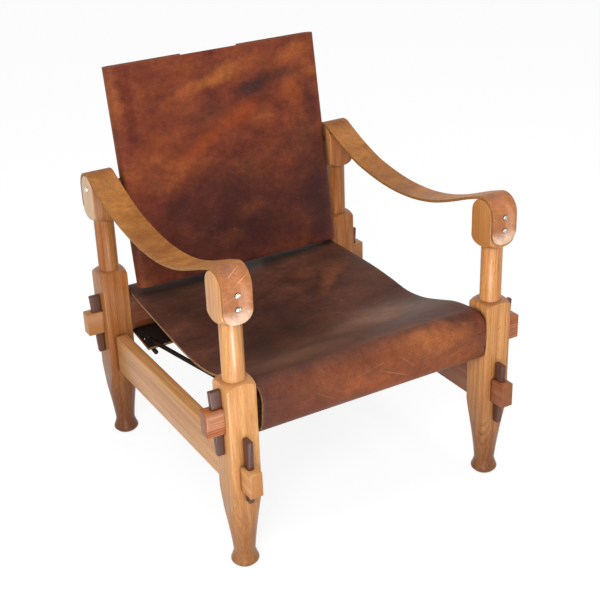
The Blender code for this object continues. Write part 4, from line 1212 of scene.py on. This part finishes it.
def seat_side(sag, shares, hug):
    """The flesh side of the seat at one edge, as (y, z) from the rear flap to the front one."""
    wrap = CROSS_RAIL_ROUND + FIT
    inset = CROSS_RAIL_HALF - CROSS_RAIL_ROUND
    drop = CROSS_RAIL_HEIGHT / 2 - CROSS_RAIL_ROUND
    rear_z = cross_tenon_z(1) + CROSS_RAIL_LIFT
    front_z = cross_tenon_z(-1) + CROSS_RAIL_LIFT
    rear = arc((POST_Y + inset, rear_z - drop), wrap, -QUARTER_TURN, 0.0, 8)
    rear += arc((POST_Y + inset, rear_z + drop), wrap, 0.0, QUARTER_TURN, 8)
    rear += arc((POST_Y - inset, rear_z + drop), wrap, QUARTER_TURN, QUARTER_TURN + hug / 2, 3)
    front = arc((inset - POST_Y, front_z + drop), wrap, QUARTER_TURN - hug, QUARTER_TURN, 5)
    nose_z = front[-1][1] - SEAT_NOSE_ROUND
    front += arc((-POST_Y, nose_z), SEAT_NOSE_ROUND, QUARTER_TURN, math.pi, 12)
    front += arc((-POST_Y - inset, front_z - drop), wrap, math.pi, math.pi + QUARTER_TURN, 8)
    rear_edge = (POST_Y - SEAT_FLAP_REACH, rear[0][1] - REAR_FLAP_DROP)
    front_edge = (SEAT_FLAP_REACH - POST_Y, front[-1][1] - FRONT_FLAP_DROP)
    start, end = Vector(rear[-1]), Vector(front[0])
    span = [start]
    for number, share in enumerate(shares, 1):
        span.append(start.lerp(end, number / (len(shares) + 1)) - Vector((0.0, sag * share)))
    span.append(end)
    rear_flap = [Vector(rear_edge).lerp(Vector(rear[0]), i / SEAT_FLAP_STEPS)
                 for i in range(SEAT_FLAP_STEPS)]
    front_flap = [Vector(front[-1]).lerp(Vector(front_edge), (i + 1) / SEAT_FLAP_STEPS)
                  for i in range(SEAT_FLAP_STEPS)]
    line = [*rear_flap, *rear[:-1], *smooth(span, 8), *front[1:], *front_flap]
    return [Vector(point) for point in line]


seat_left = seat_side(SEAT_SAG_LEFT, SEAT_SAG_LEFT_SHARES, SEAT_HUG_LEFT)
seat_right = seat_side(SEAT_SAG_RIGHT, SEAT_SAG_RIGHT_SHARES, SEAT_HUG_RIGHT)

# %% [markdown]
# ## Lacing
#
# Both sheets are closed by a thong that zigzags between two rows of holes. It comes in beneath a flap, goes
# up through the hole and back over the flap's edge, and crosses to the other side. It could be left as a
# curve, but a mesh with closed ends is the same solid thing everywhere. The real thong is a little flatter,
# and a round one keeps its form in these tight turns.

# %% Zigzag between two rows of holes
LACE_RADIUS = 0.0042
LACE_TAIL = 0.008
LACE_SIDES = 14
LACE_TURN_STEPS = 12


def lace_turn(hole, out, inward, drift, loop, inset, first, last):
    """The lace at one hole: in beneath the flap, up through it and back over its edge."""
    points = []
    if first:
        points.append(hole + out * (inset + LACE_TAIL) - inward * loop)
        points.append(hole + out * inset / 2 - inward * loop)
    else:
        points.append(hole + out * inset - inward * loop - drift * inset)
    for number in range(LACE_TURN_STEPS + 1):
        angle = -math.pi / 2 - math.pi * number / LACE_TURN_STEPS
        turn = out * (loop + loop * math.cos(angle)) + inward * loop * math.sin(angle)
        points.append(hole + turn + drift * loop * math.sin(angle))
    if last:
        points.append(hole + out * inset / 2 + inward * loop)
        points.append(hole + out * (inset + LACE_TAIL) + inward * loop)
    else:
        points.append(hole + out * inset + inward * loop + drift * inset)
    return points


def zigzag(flaps, along, low, high, crossings, inset, leather, loop):
    """The lace's route between two flaps, and the cutters of its holes. A flap is its edge, the way out
    past that edge, its inner normal and the way that its holes are punched."""
    slope = (high - low) / crossings / ((flaps[0][0] - flaps[1][0]).length + inset * 2)
    route, holes = [], bmesh.new()
    for number in range(crossings + 1):
        edge, out, inward, punch = flaps[number % 2]
        hole = edge - out * inset + along * (low + (high - low) * number / crossings)
        through = punch * (leather + OVERRUN)
        rod_between(holes, hole - through, hole + through, loop, HOLE_STEPS)
        route += lace_turn(hole, out, inward, along * slope, loop, inset, number == 0, number == crossings)
    return route, holes


print("lace:", LACE_RADIUS * 2000, "mm thick")

# %% Make a thong
def thong(name, route, radius):
    """A round leather lace along a route, made a mesh with closed ends."""
    curve = bpy.data.curves.new(name, "CURVE")
    curve.dimensions = "3D"
    curve.bevel_depth = radius
    curve.bevel_resolution = LACE_SIDES // 2 - 2
    curve.use_fill_caps = True
    spline = curve.splines.new("POLY")
    line = smooth(route, 3)
    spline.points.add(len(line) - 1)
    for point, where in zip(spline.points, line):
        point.co = (*where, 1)
    cord = stand(name, curve)
    bm = bmesh.new()
    bm.from_mesh(as_modified(cord).to_mesh())
    bpy.data.objects.remove(cord)
    bmesh.ops.remove_doubles(bm, verts=bm.verts, dist=SAME_POINT * 2)
    return thing_from(name, bm)


print("sides of a thong:", LACE_SIDES)

# %% Grid of the seat
SEAT_SWELL = 0.0012
SEAT_STILL_BEYOND = 0.20
SEAT_RIPPLES = (14, 9)
SEAT_HOLE_INSET = 0.032
SEAT_HOLE_MARGIN = 0.012
SEAT_CROSSINGS = 6
SEAT_LOOP = SEAT_LEATHER / 2 + LACE_RADIUS + FIT


def flap_frame(edge, root, thickness):
    """A flap's edge in the middle of its thickness, its outward line, inner normal and way to punch."""
    edge, root = Vector((0, *edge)), Vector((0, *root))
    out = (edge - root).normalized()
    inward = Vector((0, -out.z, out.y))
    if inward.z < 0:
        inward.negate()
    return edge - inward * thickness / 2, out, inward, inward


rows, flats = [], []
for left, right, along_left, along_right in zip(seat_left, seat_right, running_length(seat_left),
                                                running_length(seat_right)):
    row, flat_row = [], []
    for column in range(SEAT_COLUMNS):
        share = column / (SEAT_COLUMNS - 1)
        spot = left.lerp(right, share)
        row.append((SEAT_HALF * (2 * share - 1), *spot))
        flat_row.append((SEAT_HALF * (2 * share - 1), along_left + (along_right - along_left) * share))
    rows.append(row)
    flats.append(flat_row)
seat_waves = swells(SEAT_SWELL, SEAT_STILL_BEYOND, SEAT_RIPPLES, 3.0, lambda spot: abs(spot.y))
print("points in the seat's grid:", len(rows), "by", SEAT_COLUMNS)

# %% Lace and hang the seat
flaps = (flap_frame(seat_left[0], seat_left[1], SEAT_LEATHER),
         flap_frame(seat_left[-1], seat_left[-2], SEAT_LEATHER))
route, holes = zigzag(flaps, Vector((1, 0, 0)), SEAT_HOLE_MARGIN - SEAT_HALF, SEAT_HALF - SEAT_HOLE_MARGIN,
                      SEAT_CROSSINGS, SEAT_HOLE_INSET, SEAT_LEATHER, SEAT_LOOP)
seat = leather_sheet("slung_seat_leather", rows, flats, SEAT_LEATHER, (FLESH_SIDE, SEAT_GRAIN, RAW_EDGE),
                     seat_waves, thing_from("seat_holes", holes, cutter=True))
clear_cutters()
dress(seat, "frame", None, "seat_leather", "seat_leather")
dress(thong("seat_thong", route, LACE_RADIUS), "frame", LACE_HIDE, "lace", "seat_lace")
print("faces in the seat:", len(seat.data.polygons))

# %% [markdown]
# ## The back
#
# The back is a second sheet, wrapped round two hidden uprights and laced behind. It swings on two bolts, so
# it leans by itself to meet the sitter. It rides on the backrest's body, with its thong.

# %% Sizes of the back
PIVOT_Z = HEAD_Z
BACK_TILT = math.radians(9.3)
BACK_LEATHER = 0.004
BACK_ABOVE_PIVOT = 0.202
BACK_BELOW_PIVOT = 0.197
BACK_HALF = 0.20925
BACK_MIDDLE_X = 0.00625
BACK_HOLLOW = 0.003
BACK_GAP = 0.114
STILE_HALF = 0.010
STILE_WIDTH = 0.032
STILE_ROUND = 0.0085
BACK_HOLE_INSET = 0.022
BACK_HOLE_MARGIN = 0.0295
BACK_CROSSINGS = 8
BACK_LOOP = BACK_LEATHER / 2 + LACE_RADIUS + FIT
BACK_ROWS = 61
BACK_FLAP_STEPS = 14
BACK_FIELD_STEPS = 24
BACK_SWELL = 0.0009
BACK_STILL_BEYOND = 0.165
BACK_RIPPLES = (11, 8)
BOLT_RADIUS = 0.003
BACK_FRAME = Matrix.Translation((BACK_MIDDLE_X, POST_Y, PIVOT_Z)) @ Matrix.Rotation(-BACK_TILT, 4, "X")


def back_line():
    """The flesh side of the back seen from above, as (x, y) about the pivot."""
    side = BACK_HALF - BACK_LEATHER
    depth = STILE_HALF + FIT
    round_off = STILE_ROUND + FIT
    rear = arc((side - round_off, depth - round_off), round_off, QUARTER_TURN, 0.0, 6)
    front = arc((side - round_off, -depth + round_off), round_off, 0.0, -QUARTER_TURN, 6)
    flap = [(BACK_GAP / 2 + (side - round_off - BACK_GAP / 2) * i / BACK_FLAP_STEPS, depth)
            for i in range(BACK_FLAP_STEPS)]
    half = [*flap, *rear, *front]
    field = side - STILE_WIDTH - FIT * 2
    for step in range(BACK_FIELD_STEPS, 0, -1):
        share = step / BACK_FIELD_STEPS
        half.append((field * share, -depth + BACK_HOLLOW * (1 - share * share)))
    return half + [(0.0, -depth + BACK_HOLLOW)] + [(-x, y) for x, y in reversed(half)]


# Only the front of the back swells, between its uprights
back_waves = swells(BACK_SWELL, BACK_STILL_BEYOND, BACK_RIPPLES, 7.0,
                    lambda spot: abs(spot.x) if spot.y < 0 else BACK_STILL_BEYOND)
print("the back leans", round(math.degrees(BACK_TILT), 1), "degrees")

# %% Wrap and lace the back
line = back_line()
line_length = running_length([(*point, 0.0) for point in line])
back_length = line_length[-1]
rows, flats = [], []
for number in range(BACK_ROWS):
    height = -BACK_BELOW_PIVOT + (BACK_ABOVE_PIVOT + BACK_BELOW_PIVOT) * number / (BACK_ROWS - 1)
    rows.append([(x, y, height) for x, y in line])
    flats.append([(back_length / 2 - run, height) for run in line_length])
depth = STILE_HALF + FIT + BACK_LEATHER / 2
flaps = [(Vector((side * BACK_GAP / 2, depth, 0)), Vector((-side, 0, 0)), Vector((0, -1, 0)),
          Vector((0, 1, 0))) for side in SIDES.values()]
route, holes = zigzag(flaps, Vector((0, 0, 1)), BACK_HOLE_MARGIN - BACK_BELOW_PIVOT,
                      BACK_ABOVE_PIVOT - BACK_HOLE_MARGIN, BACK_CROSSINGS, BACK_HOLE_INSET, BACK_LEATHER,
                      BACK_LOOP)
for side in SIDES.values():
    rod_between(holes, (side * (BACK_HALF + OVERRUN), 0, 0), (side * (BACK_HALF - STILE_WIDTH / 2), 0, 0),
                BOLT_RADIUS + FIT, HOLE_STEPS)
back = leather_sheet("wrapped_back_leather", rows, flats, BACK_LEATHER, (BACK_FLESH, BACK_GRAIN, BACK_EDGE),
                     back_waves, thing_from("back_holes", holes, cutter=True))
clear_cutters()
back.data.transform(BACK_FRAME)
dress(back, "backrest", None, "back_leather", "back_leather")
back_thong = thong("back_thong", route, LACE_RADIUS)
back_thong.data.transform(BACK_FRAME)
dress(back_thong, "backrest", LACE_HIDE, "lace", "back_lace")
print("back leather before it was bent:", round(back_length, 3), "m wide; faces", len(back.data.polygons))

# %% [markdown]
# ## Arm straps
#
# Each arm is a strap of tan leather. It lies over both round heads and hangs in a deep curve between them,
# lowest behind the middle where an elbow rests. Its front end is rounded and held by two screws.

# %% Sizes of the straps and their screws
STRAP_LEATHER = 0.0044
STRAP_WIDTH = 0.049
STRAP_END_DROP = 0.0545
STRAP_RIGHT_RISE = 0.0065
STRAP_TIP_ROUND = 0.021
STRAP_TIP_STEPS = 12
STRAP_SAG = 0.062
STRAP_FRONT_HUG = math.radians(20)
STRAP_REAR_HUG = math.radians(24)
STRAP_PLACE_SHARES = (0.078, 0.148, 0.216, 0.294, 0.385, 0.465, 0.543, 0.619, 0.70, 0.767, 0.846, 0.912)
STRAP_SAG_SHARES = (0.19, 0.42, 0.63, 0.81, 0.94, 0.99, 0.99, 0.94, 0.84, 0.725, 0.505, 0.285)
STRAP_COLUMNS = 13
STRAP_SWELL = 0.0005
STRAP_STILL_BEYOND = 0.19
STRAP_RIPPLES = (18, 12)
SCREW_UPPER_DROP = 0.0083
SCREW_LOWER_DROP = 0.0308
SCREW_RADIUS = 0.0017
SCREW_HOLE_STEPS = 16
WASHER_RADIUS = 0.0043
print("strap:", STRAP_WIDTH * 1000, "by", STRAP_LEATHER * 1000, "mm")

# %% Lines of a strap
def strap_rise(side):
    """How much higher a strap's ends and screws sit: the right strap was screwed on higher."""
    return STRAP_RIGHT_RISE if side > 0 else 0.0


def screw_heights(side):
    """The heights of the upper and the lower strap screw on one side of the chair."""
    middle = HEAD_Z + strap_rise(side)
    return {"upper": middle - SCREW_UPPER_DROP, "lower": middle - SCREW_LOWER_DROP}


def strap_line():
    """The flesh side of a strap as (y, z), from the front end to the rear one."""
    wrap = POST_HALF + FIT
    front = arc((-POST_Y, HEAD_Z), wrap, math.pi, math.pi / 2 - STRAP_FRONT_HUG, 24)
    rear = arc((POST_Y, HEAD_Z), wrap, math.pi / 2 + STRAP_REAR_HUG, 0.0, 18)
    span = [front[-1]]
    for place_share, sag_share in zip(STRAP_PLACE_SHARES, STRAP_SAG_SHARES):
        span.append((POST_Y * 2 * place_share - POST_Y, HEAD_TOP + FIT - STRAP_SAG * sag_share))
    span.append(rear[0])
    return front[:-1] + [tuple(point) for point in smooth(span, 6)] + rear[1:]


def strap_tip():
    """Height above a strap's end and half width there, for its rounded tip."""
    half = STRAP_WIDTH / 2
    rows = []
    for number in range(STRAP_TIP_STEPS + 1):
        angle = math.pi / 2 * number / STRAP_TIP_STEPS
        rows.append((STRAP_TIP_ROUND * (1 - math.cos(angle)), half - STRAP_TIP_ROUND * (1 - math.sin(angle))))
    return rows


# A strap is stiff, and only bows a little between the posts
strap_waves = swells(STRAP_SWELL, STRAP_STILL_BEYOND, STRAP_RIPPLES, 11.0, lambda spot: abs(spot.y))
print("points along a strap:", len(strap_line()))

# %% Tan a strap
DENT_SPREAD = 1.28


def strap_leather(name, length):
    """Natural tan saddle leather, darkest where arms rest, redder and scratched over the front head."""
    upper, lower = (STRAP_END_DROP - drop for drop in (SCREW_UPPER_DROP, SCREW_LOWER_DROP))
    dents = [("#2E1C12", 0.90, (0.0, run), (WASHER_RADIUS * DENT_SPREAD,) * 2, 0)
             for run in (upper, lower, length - upper, length - lower)]
    scratches = [("#EDB886", 0.60, (0.002, 0.079), (0.0170, 0.0005), 30),
                 ("#EDB886", 0.60, (0.0085, 0.066), (0.0170, 0.0005), 27),
                 ("#E5B088", 0.45, (-0.0105, 0.042), (0.0140, 0.0004), 25),
                 ("#E5B088", 0.50, (0.013, 0.040), (0.0045, 0.0004), 27),
                 ("#E0AC7C", 0.45, (0.0065, 0.077), (0.0060, 0.0004), 32)]
    ring = [("#6B3F1E", 0.45, (-0.002, length - 0.122), (0.0062, 0.0062), 0),
            ("#AB7038", 0.85, (-0.002, length - 0.122), (0.0056, 0.0056), 0)]
    turn = 85 if name == "left" else 95
    return leather("tan_saddle_leather_" + name,
                   [(0.28, "#8C5325"), (0.44, "#A06430"), (0.60, "#B17438"), (0.76, "#C08648")], turn, 0.06,
                   [("#BC7850", 0.85, (0.0, 0.050), (0.060, 0.080), 0),
                    ("#94604A", 0.70, (-0.006, 0.086), (0.022, 0.024), 12),
                    ("#D09A78", 0.70, (0.012, 0.036), (0.014, 0.034), 0),
                    # The very pale patch low on the front end is painted sheen
                    ("#FAD2B6", 0.95, (0.0, 0.006), (0.038, 0.027), 0),
                    ("#8F5828", 0.60, (0.0, length * 0.56), (0.050, 0.130), 0),
                    ("#B57C44", 0.45, (0.0, length * 0.80), (0.050, 0.050), 0),
                    ("#7E4626", 0.65, (0.0, length - 0.088), (0.050, 0.034), 0)],
                   (scratches + ring if name == "left" else []) + dents, ("#E3B98E", 0.50),
                   rough=(0.40, 0.55), grain=0.12)


print("a washer dents the strap", round(WASHER_RADIUS * DENT_SPREAD * 1000, 1), "mm about its screw")

# %% Lay the straps
def make_strap(name, side):
    """One arm strap, from its rounded front end over both heads to its rear end."""
    face = OUTER_FACE_Y + FIT
    foot = HEAD_Z - STRAP_END_DROP + strap_rise(side)
    ends = [(-face, foot + up, width) for up, width in strap_tip()]
    line = [*ends, *[(y, z, STRAP_WIDTH / 2) for y, z in strap_line()]]
    line += [(face, foot + up, width) for up, width in reversed(strap_tip())]
    runs = running_length([(y, z, 0.0) for y, z, _ in line])
    strap_grain = strap_leather(name, runs[-1])
    rows, flats = [], []
    for (y, z, width), run in zip(line, runs):
        across = [width * (1 - 2 * i / (STRAP_COLUMNS - 1)) for i in range(STRAP_COLUMNS)]
        rows.append([(x, y, z) for x in across])
        flats.append([(x, run) for x in across])
    holes = bmesh.new()
    for end in (-1, 1):
        for z in screw_heights(side).values():
            rod_between(holes, (0, end * (face - OVERRUN), z), (0, end * (face + STRAP_LEATHER + OVERRUN), z),
                        SCREW_RADIUS + FIT, SCREW_HOLE_STEPS)
    strap = leather_sheet("laid_arm_strap_" + name, rows, flats, STRAP_LEATHER,
                          (STRAP_FLESH, strap_grain, BURNISHED_EDGE), strap_waves,
                          thing_from("strap_holes", holes, cutter=True))
    clear_cutters()
    strap.data.transform(Matrix.Translation((side * POST_X, 0, 0)))
    dress(strap, "frame", None, "strap_leather", "arm_strap_" + name)
    return runs[-1]


for name, side in SIDES.items():
    strap_length = make_strap(name, side)
print("arm strap before it was bent:", STRAP_WIDTH, "by", round(strap_length, 3), "m")

# %% [markdown]
# ## Screws, cup washers and pivot bolts
#
# The metal is small, but it is the only bright thing on the chair. Each screw sits in a cup washer, which
# keeps its head from cutting the leather, and each slot stands as the screwdriver left it.

# %% Sizes of the metal
SCREW_HEAD_RADIUS = 0.0031
METAL_STEPS = 40
SCREW_CROWN = 0.0006
SCREW_LENGTH = 0.019
SCREW_SLOT = 0.0011
SCREW_SLOT_DEPTH = 0.0012
WASHER_HEIGHT = 0.0014
WASHER_LIP = 0.0005
WASHER_EDGE = 0.00015
BOLT_HEAD_RADIUS = 0.0052
BOLT_HEAD_HEIGHT = 0.0034
BOLT_REACH = 0.022
SLOT_TURNS = {"front_left_upper": 70, "front_left_lower": 55, "front_right_upper": 20,
              "front_right_lower": 48, "rear_left_upper": 5, "rear_left_lower": 82,
              "rear_right_upper": 35, "rear_right_lower": -15}
SCREW_SEAT_Y = OUTER_FACE_Y + FIT + STRAP_LEATHER + FIT
CUP_NICKEL = nickel_plate("tarnished_shaded_nickel_plate", SCREW_SEAT_Y + WASHER_HEIGHT)
print("screw head:", SCREW_HEAD_RADIUS * 2000, "mm wide, in a cup of", WASHER_RADIUS * 2000, "mm")

# %% Turn the screws and their cups
def make_screw(tag, side, end, z):
    """One slotted screw and the cup washer that it sits in."""
    place = (Matrix.Translation((side * POST_X, end * SCREW_SEAT_Y, z))
             @ Matrix.Rotation(-end * math.pi / 2, 4, "X"))
    cup = [(WASHER_RADIUS - WASHER_LIP, WASHER_HEIGHT), (WASHER_RADIUS, WASHER_LIP),
           (WASHER_RADIUS, 0.0), (SCREW_RADIUS + FIT, 0.0),
           (SCREW_HEAD_RADIUS + FIT, WASHER_HEIGHT - FIT),
           (SCREW_HEAD_RADIUS + FIT, WASHER_HEIGHT), (WASHER_RADIUS - WASHER_LIP, WASHER_HEIGHT)]
    washer = lathe("pressed_cup_washer_" + tag, cup, METAL_STEPS)
    ease(washer, WASHER_EDGE, 2)
    crown = arc((0.0, WASHER_HEIGHT), SCREW_HEAD_RADIUS, math.pi / 2, 0.0, 8, SCREW_CROWN)
    shank = WASHER_HEIGHT - SCREW_LENGTH
    screw = lathe("slotted_screw_" + tag, [*crown, (SCREW_RADIUS, FIT), (SCREW_RADIUS, shank),
                                           (0.0, shank - SCREW_RADIUS)], METAL_STEPS)
    top = WASHER_HEIGHT + SCREW_CROWN
    low = (-SCREW_HEAD_RADIUS - OVERRUN, -SCREW_SLOT / 2, top - SCREW_SLOT_DEPTH)
    high = (SCREW_HEAD_RADIUS + OVERRUN, SCREW_SLOT / 2, top + OVERRUN)
    slot = thing_from("screw_slot", box_between(low, high), cutter=True)
    slot.matrix_world = place @ Matrix.Rotation(math.radians(SLOT_TURNS[tag]), 4, "Z")
    combine(screw, slot, "DIFFERENCE")
    for thing, node, plate in ((washer, "cup_washer_", CUP_NICKEL), (screw, "strap_screw_", NICKEL)):
        thing.matrix_world = place
        settle(thing, 35)
        dress(thing, "frame", plate, "nickel", node + tag)
    clear_cutters()


for corner, (side, end) in CORNERS.items():
    for level, z in screw_heights(side).items():
        make_screw(corner + "_" + level, side, end, z)
print("screws:", len(SLOT_TURNS))

# %% Turn the pivot bolts
for name, side in SIDES.items():
    back_side = BACK_HALF + side * BACK_MIDDLE_X
    length = OUTER_FACE_X - (back_side - BACK_LEATHER - FIT - BOLT_REACH)
    dome = arc((0.0, FIT), BOLT_HEAD_RADIUS, math.pi / 2, 0.0, 10, BOLT_HEAD_HEIGHT)
    bolt = lathe("domed_pivot_bolt_" + name, [*dome, (BOLT_RADIUS, FIT), (BOLT_RADIUS, -length),
                                             (0.0, -length)], METAL_STEPS)
    bolt.matrix_world = (Matrix.Translation((side * OUTER_FACE_X, POST_Y, PIVOT_Z))
                         @ Matrix.Rotation(side * math.pi / 2, 4, "Y"))
    settle(bolt, 35)
    dress(bolt, "frame", NICKEL, "nickel", "pivot_bolt_" + name)
print("bolt:", round(length * 1000, 1), "mm long")

# %% [markdown]
# ## What stays as it is
#
# The two uprights inside the back and the spacers on the bolts hardly show. Their forms are right already,
# so they only take a finish.

# %% Finish the hidden pieces
HIDDEN_OAK = oak("oak_hidden", "Z", (0.05, POST_Y + 0.09, 0.0), (9, 0, 0), "#C08A58", "#A97243", "#80502C")
for name in ("left", "right"):
    for node, finish in (("back_stile_" + name, HIDDEN_OAK), ("pivot_spacer_" + name, WASHER_HIDE)):
        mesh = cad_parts[node].data
        mesh.materials.clear()
        mesh.materials.append(finish)
print("pieces that keep their form: 2 uprights, 2 spacers")
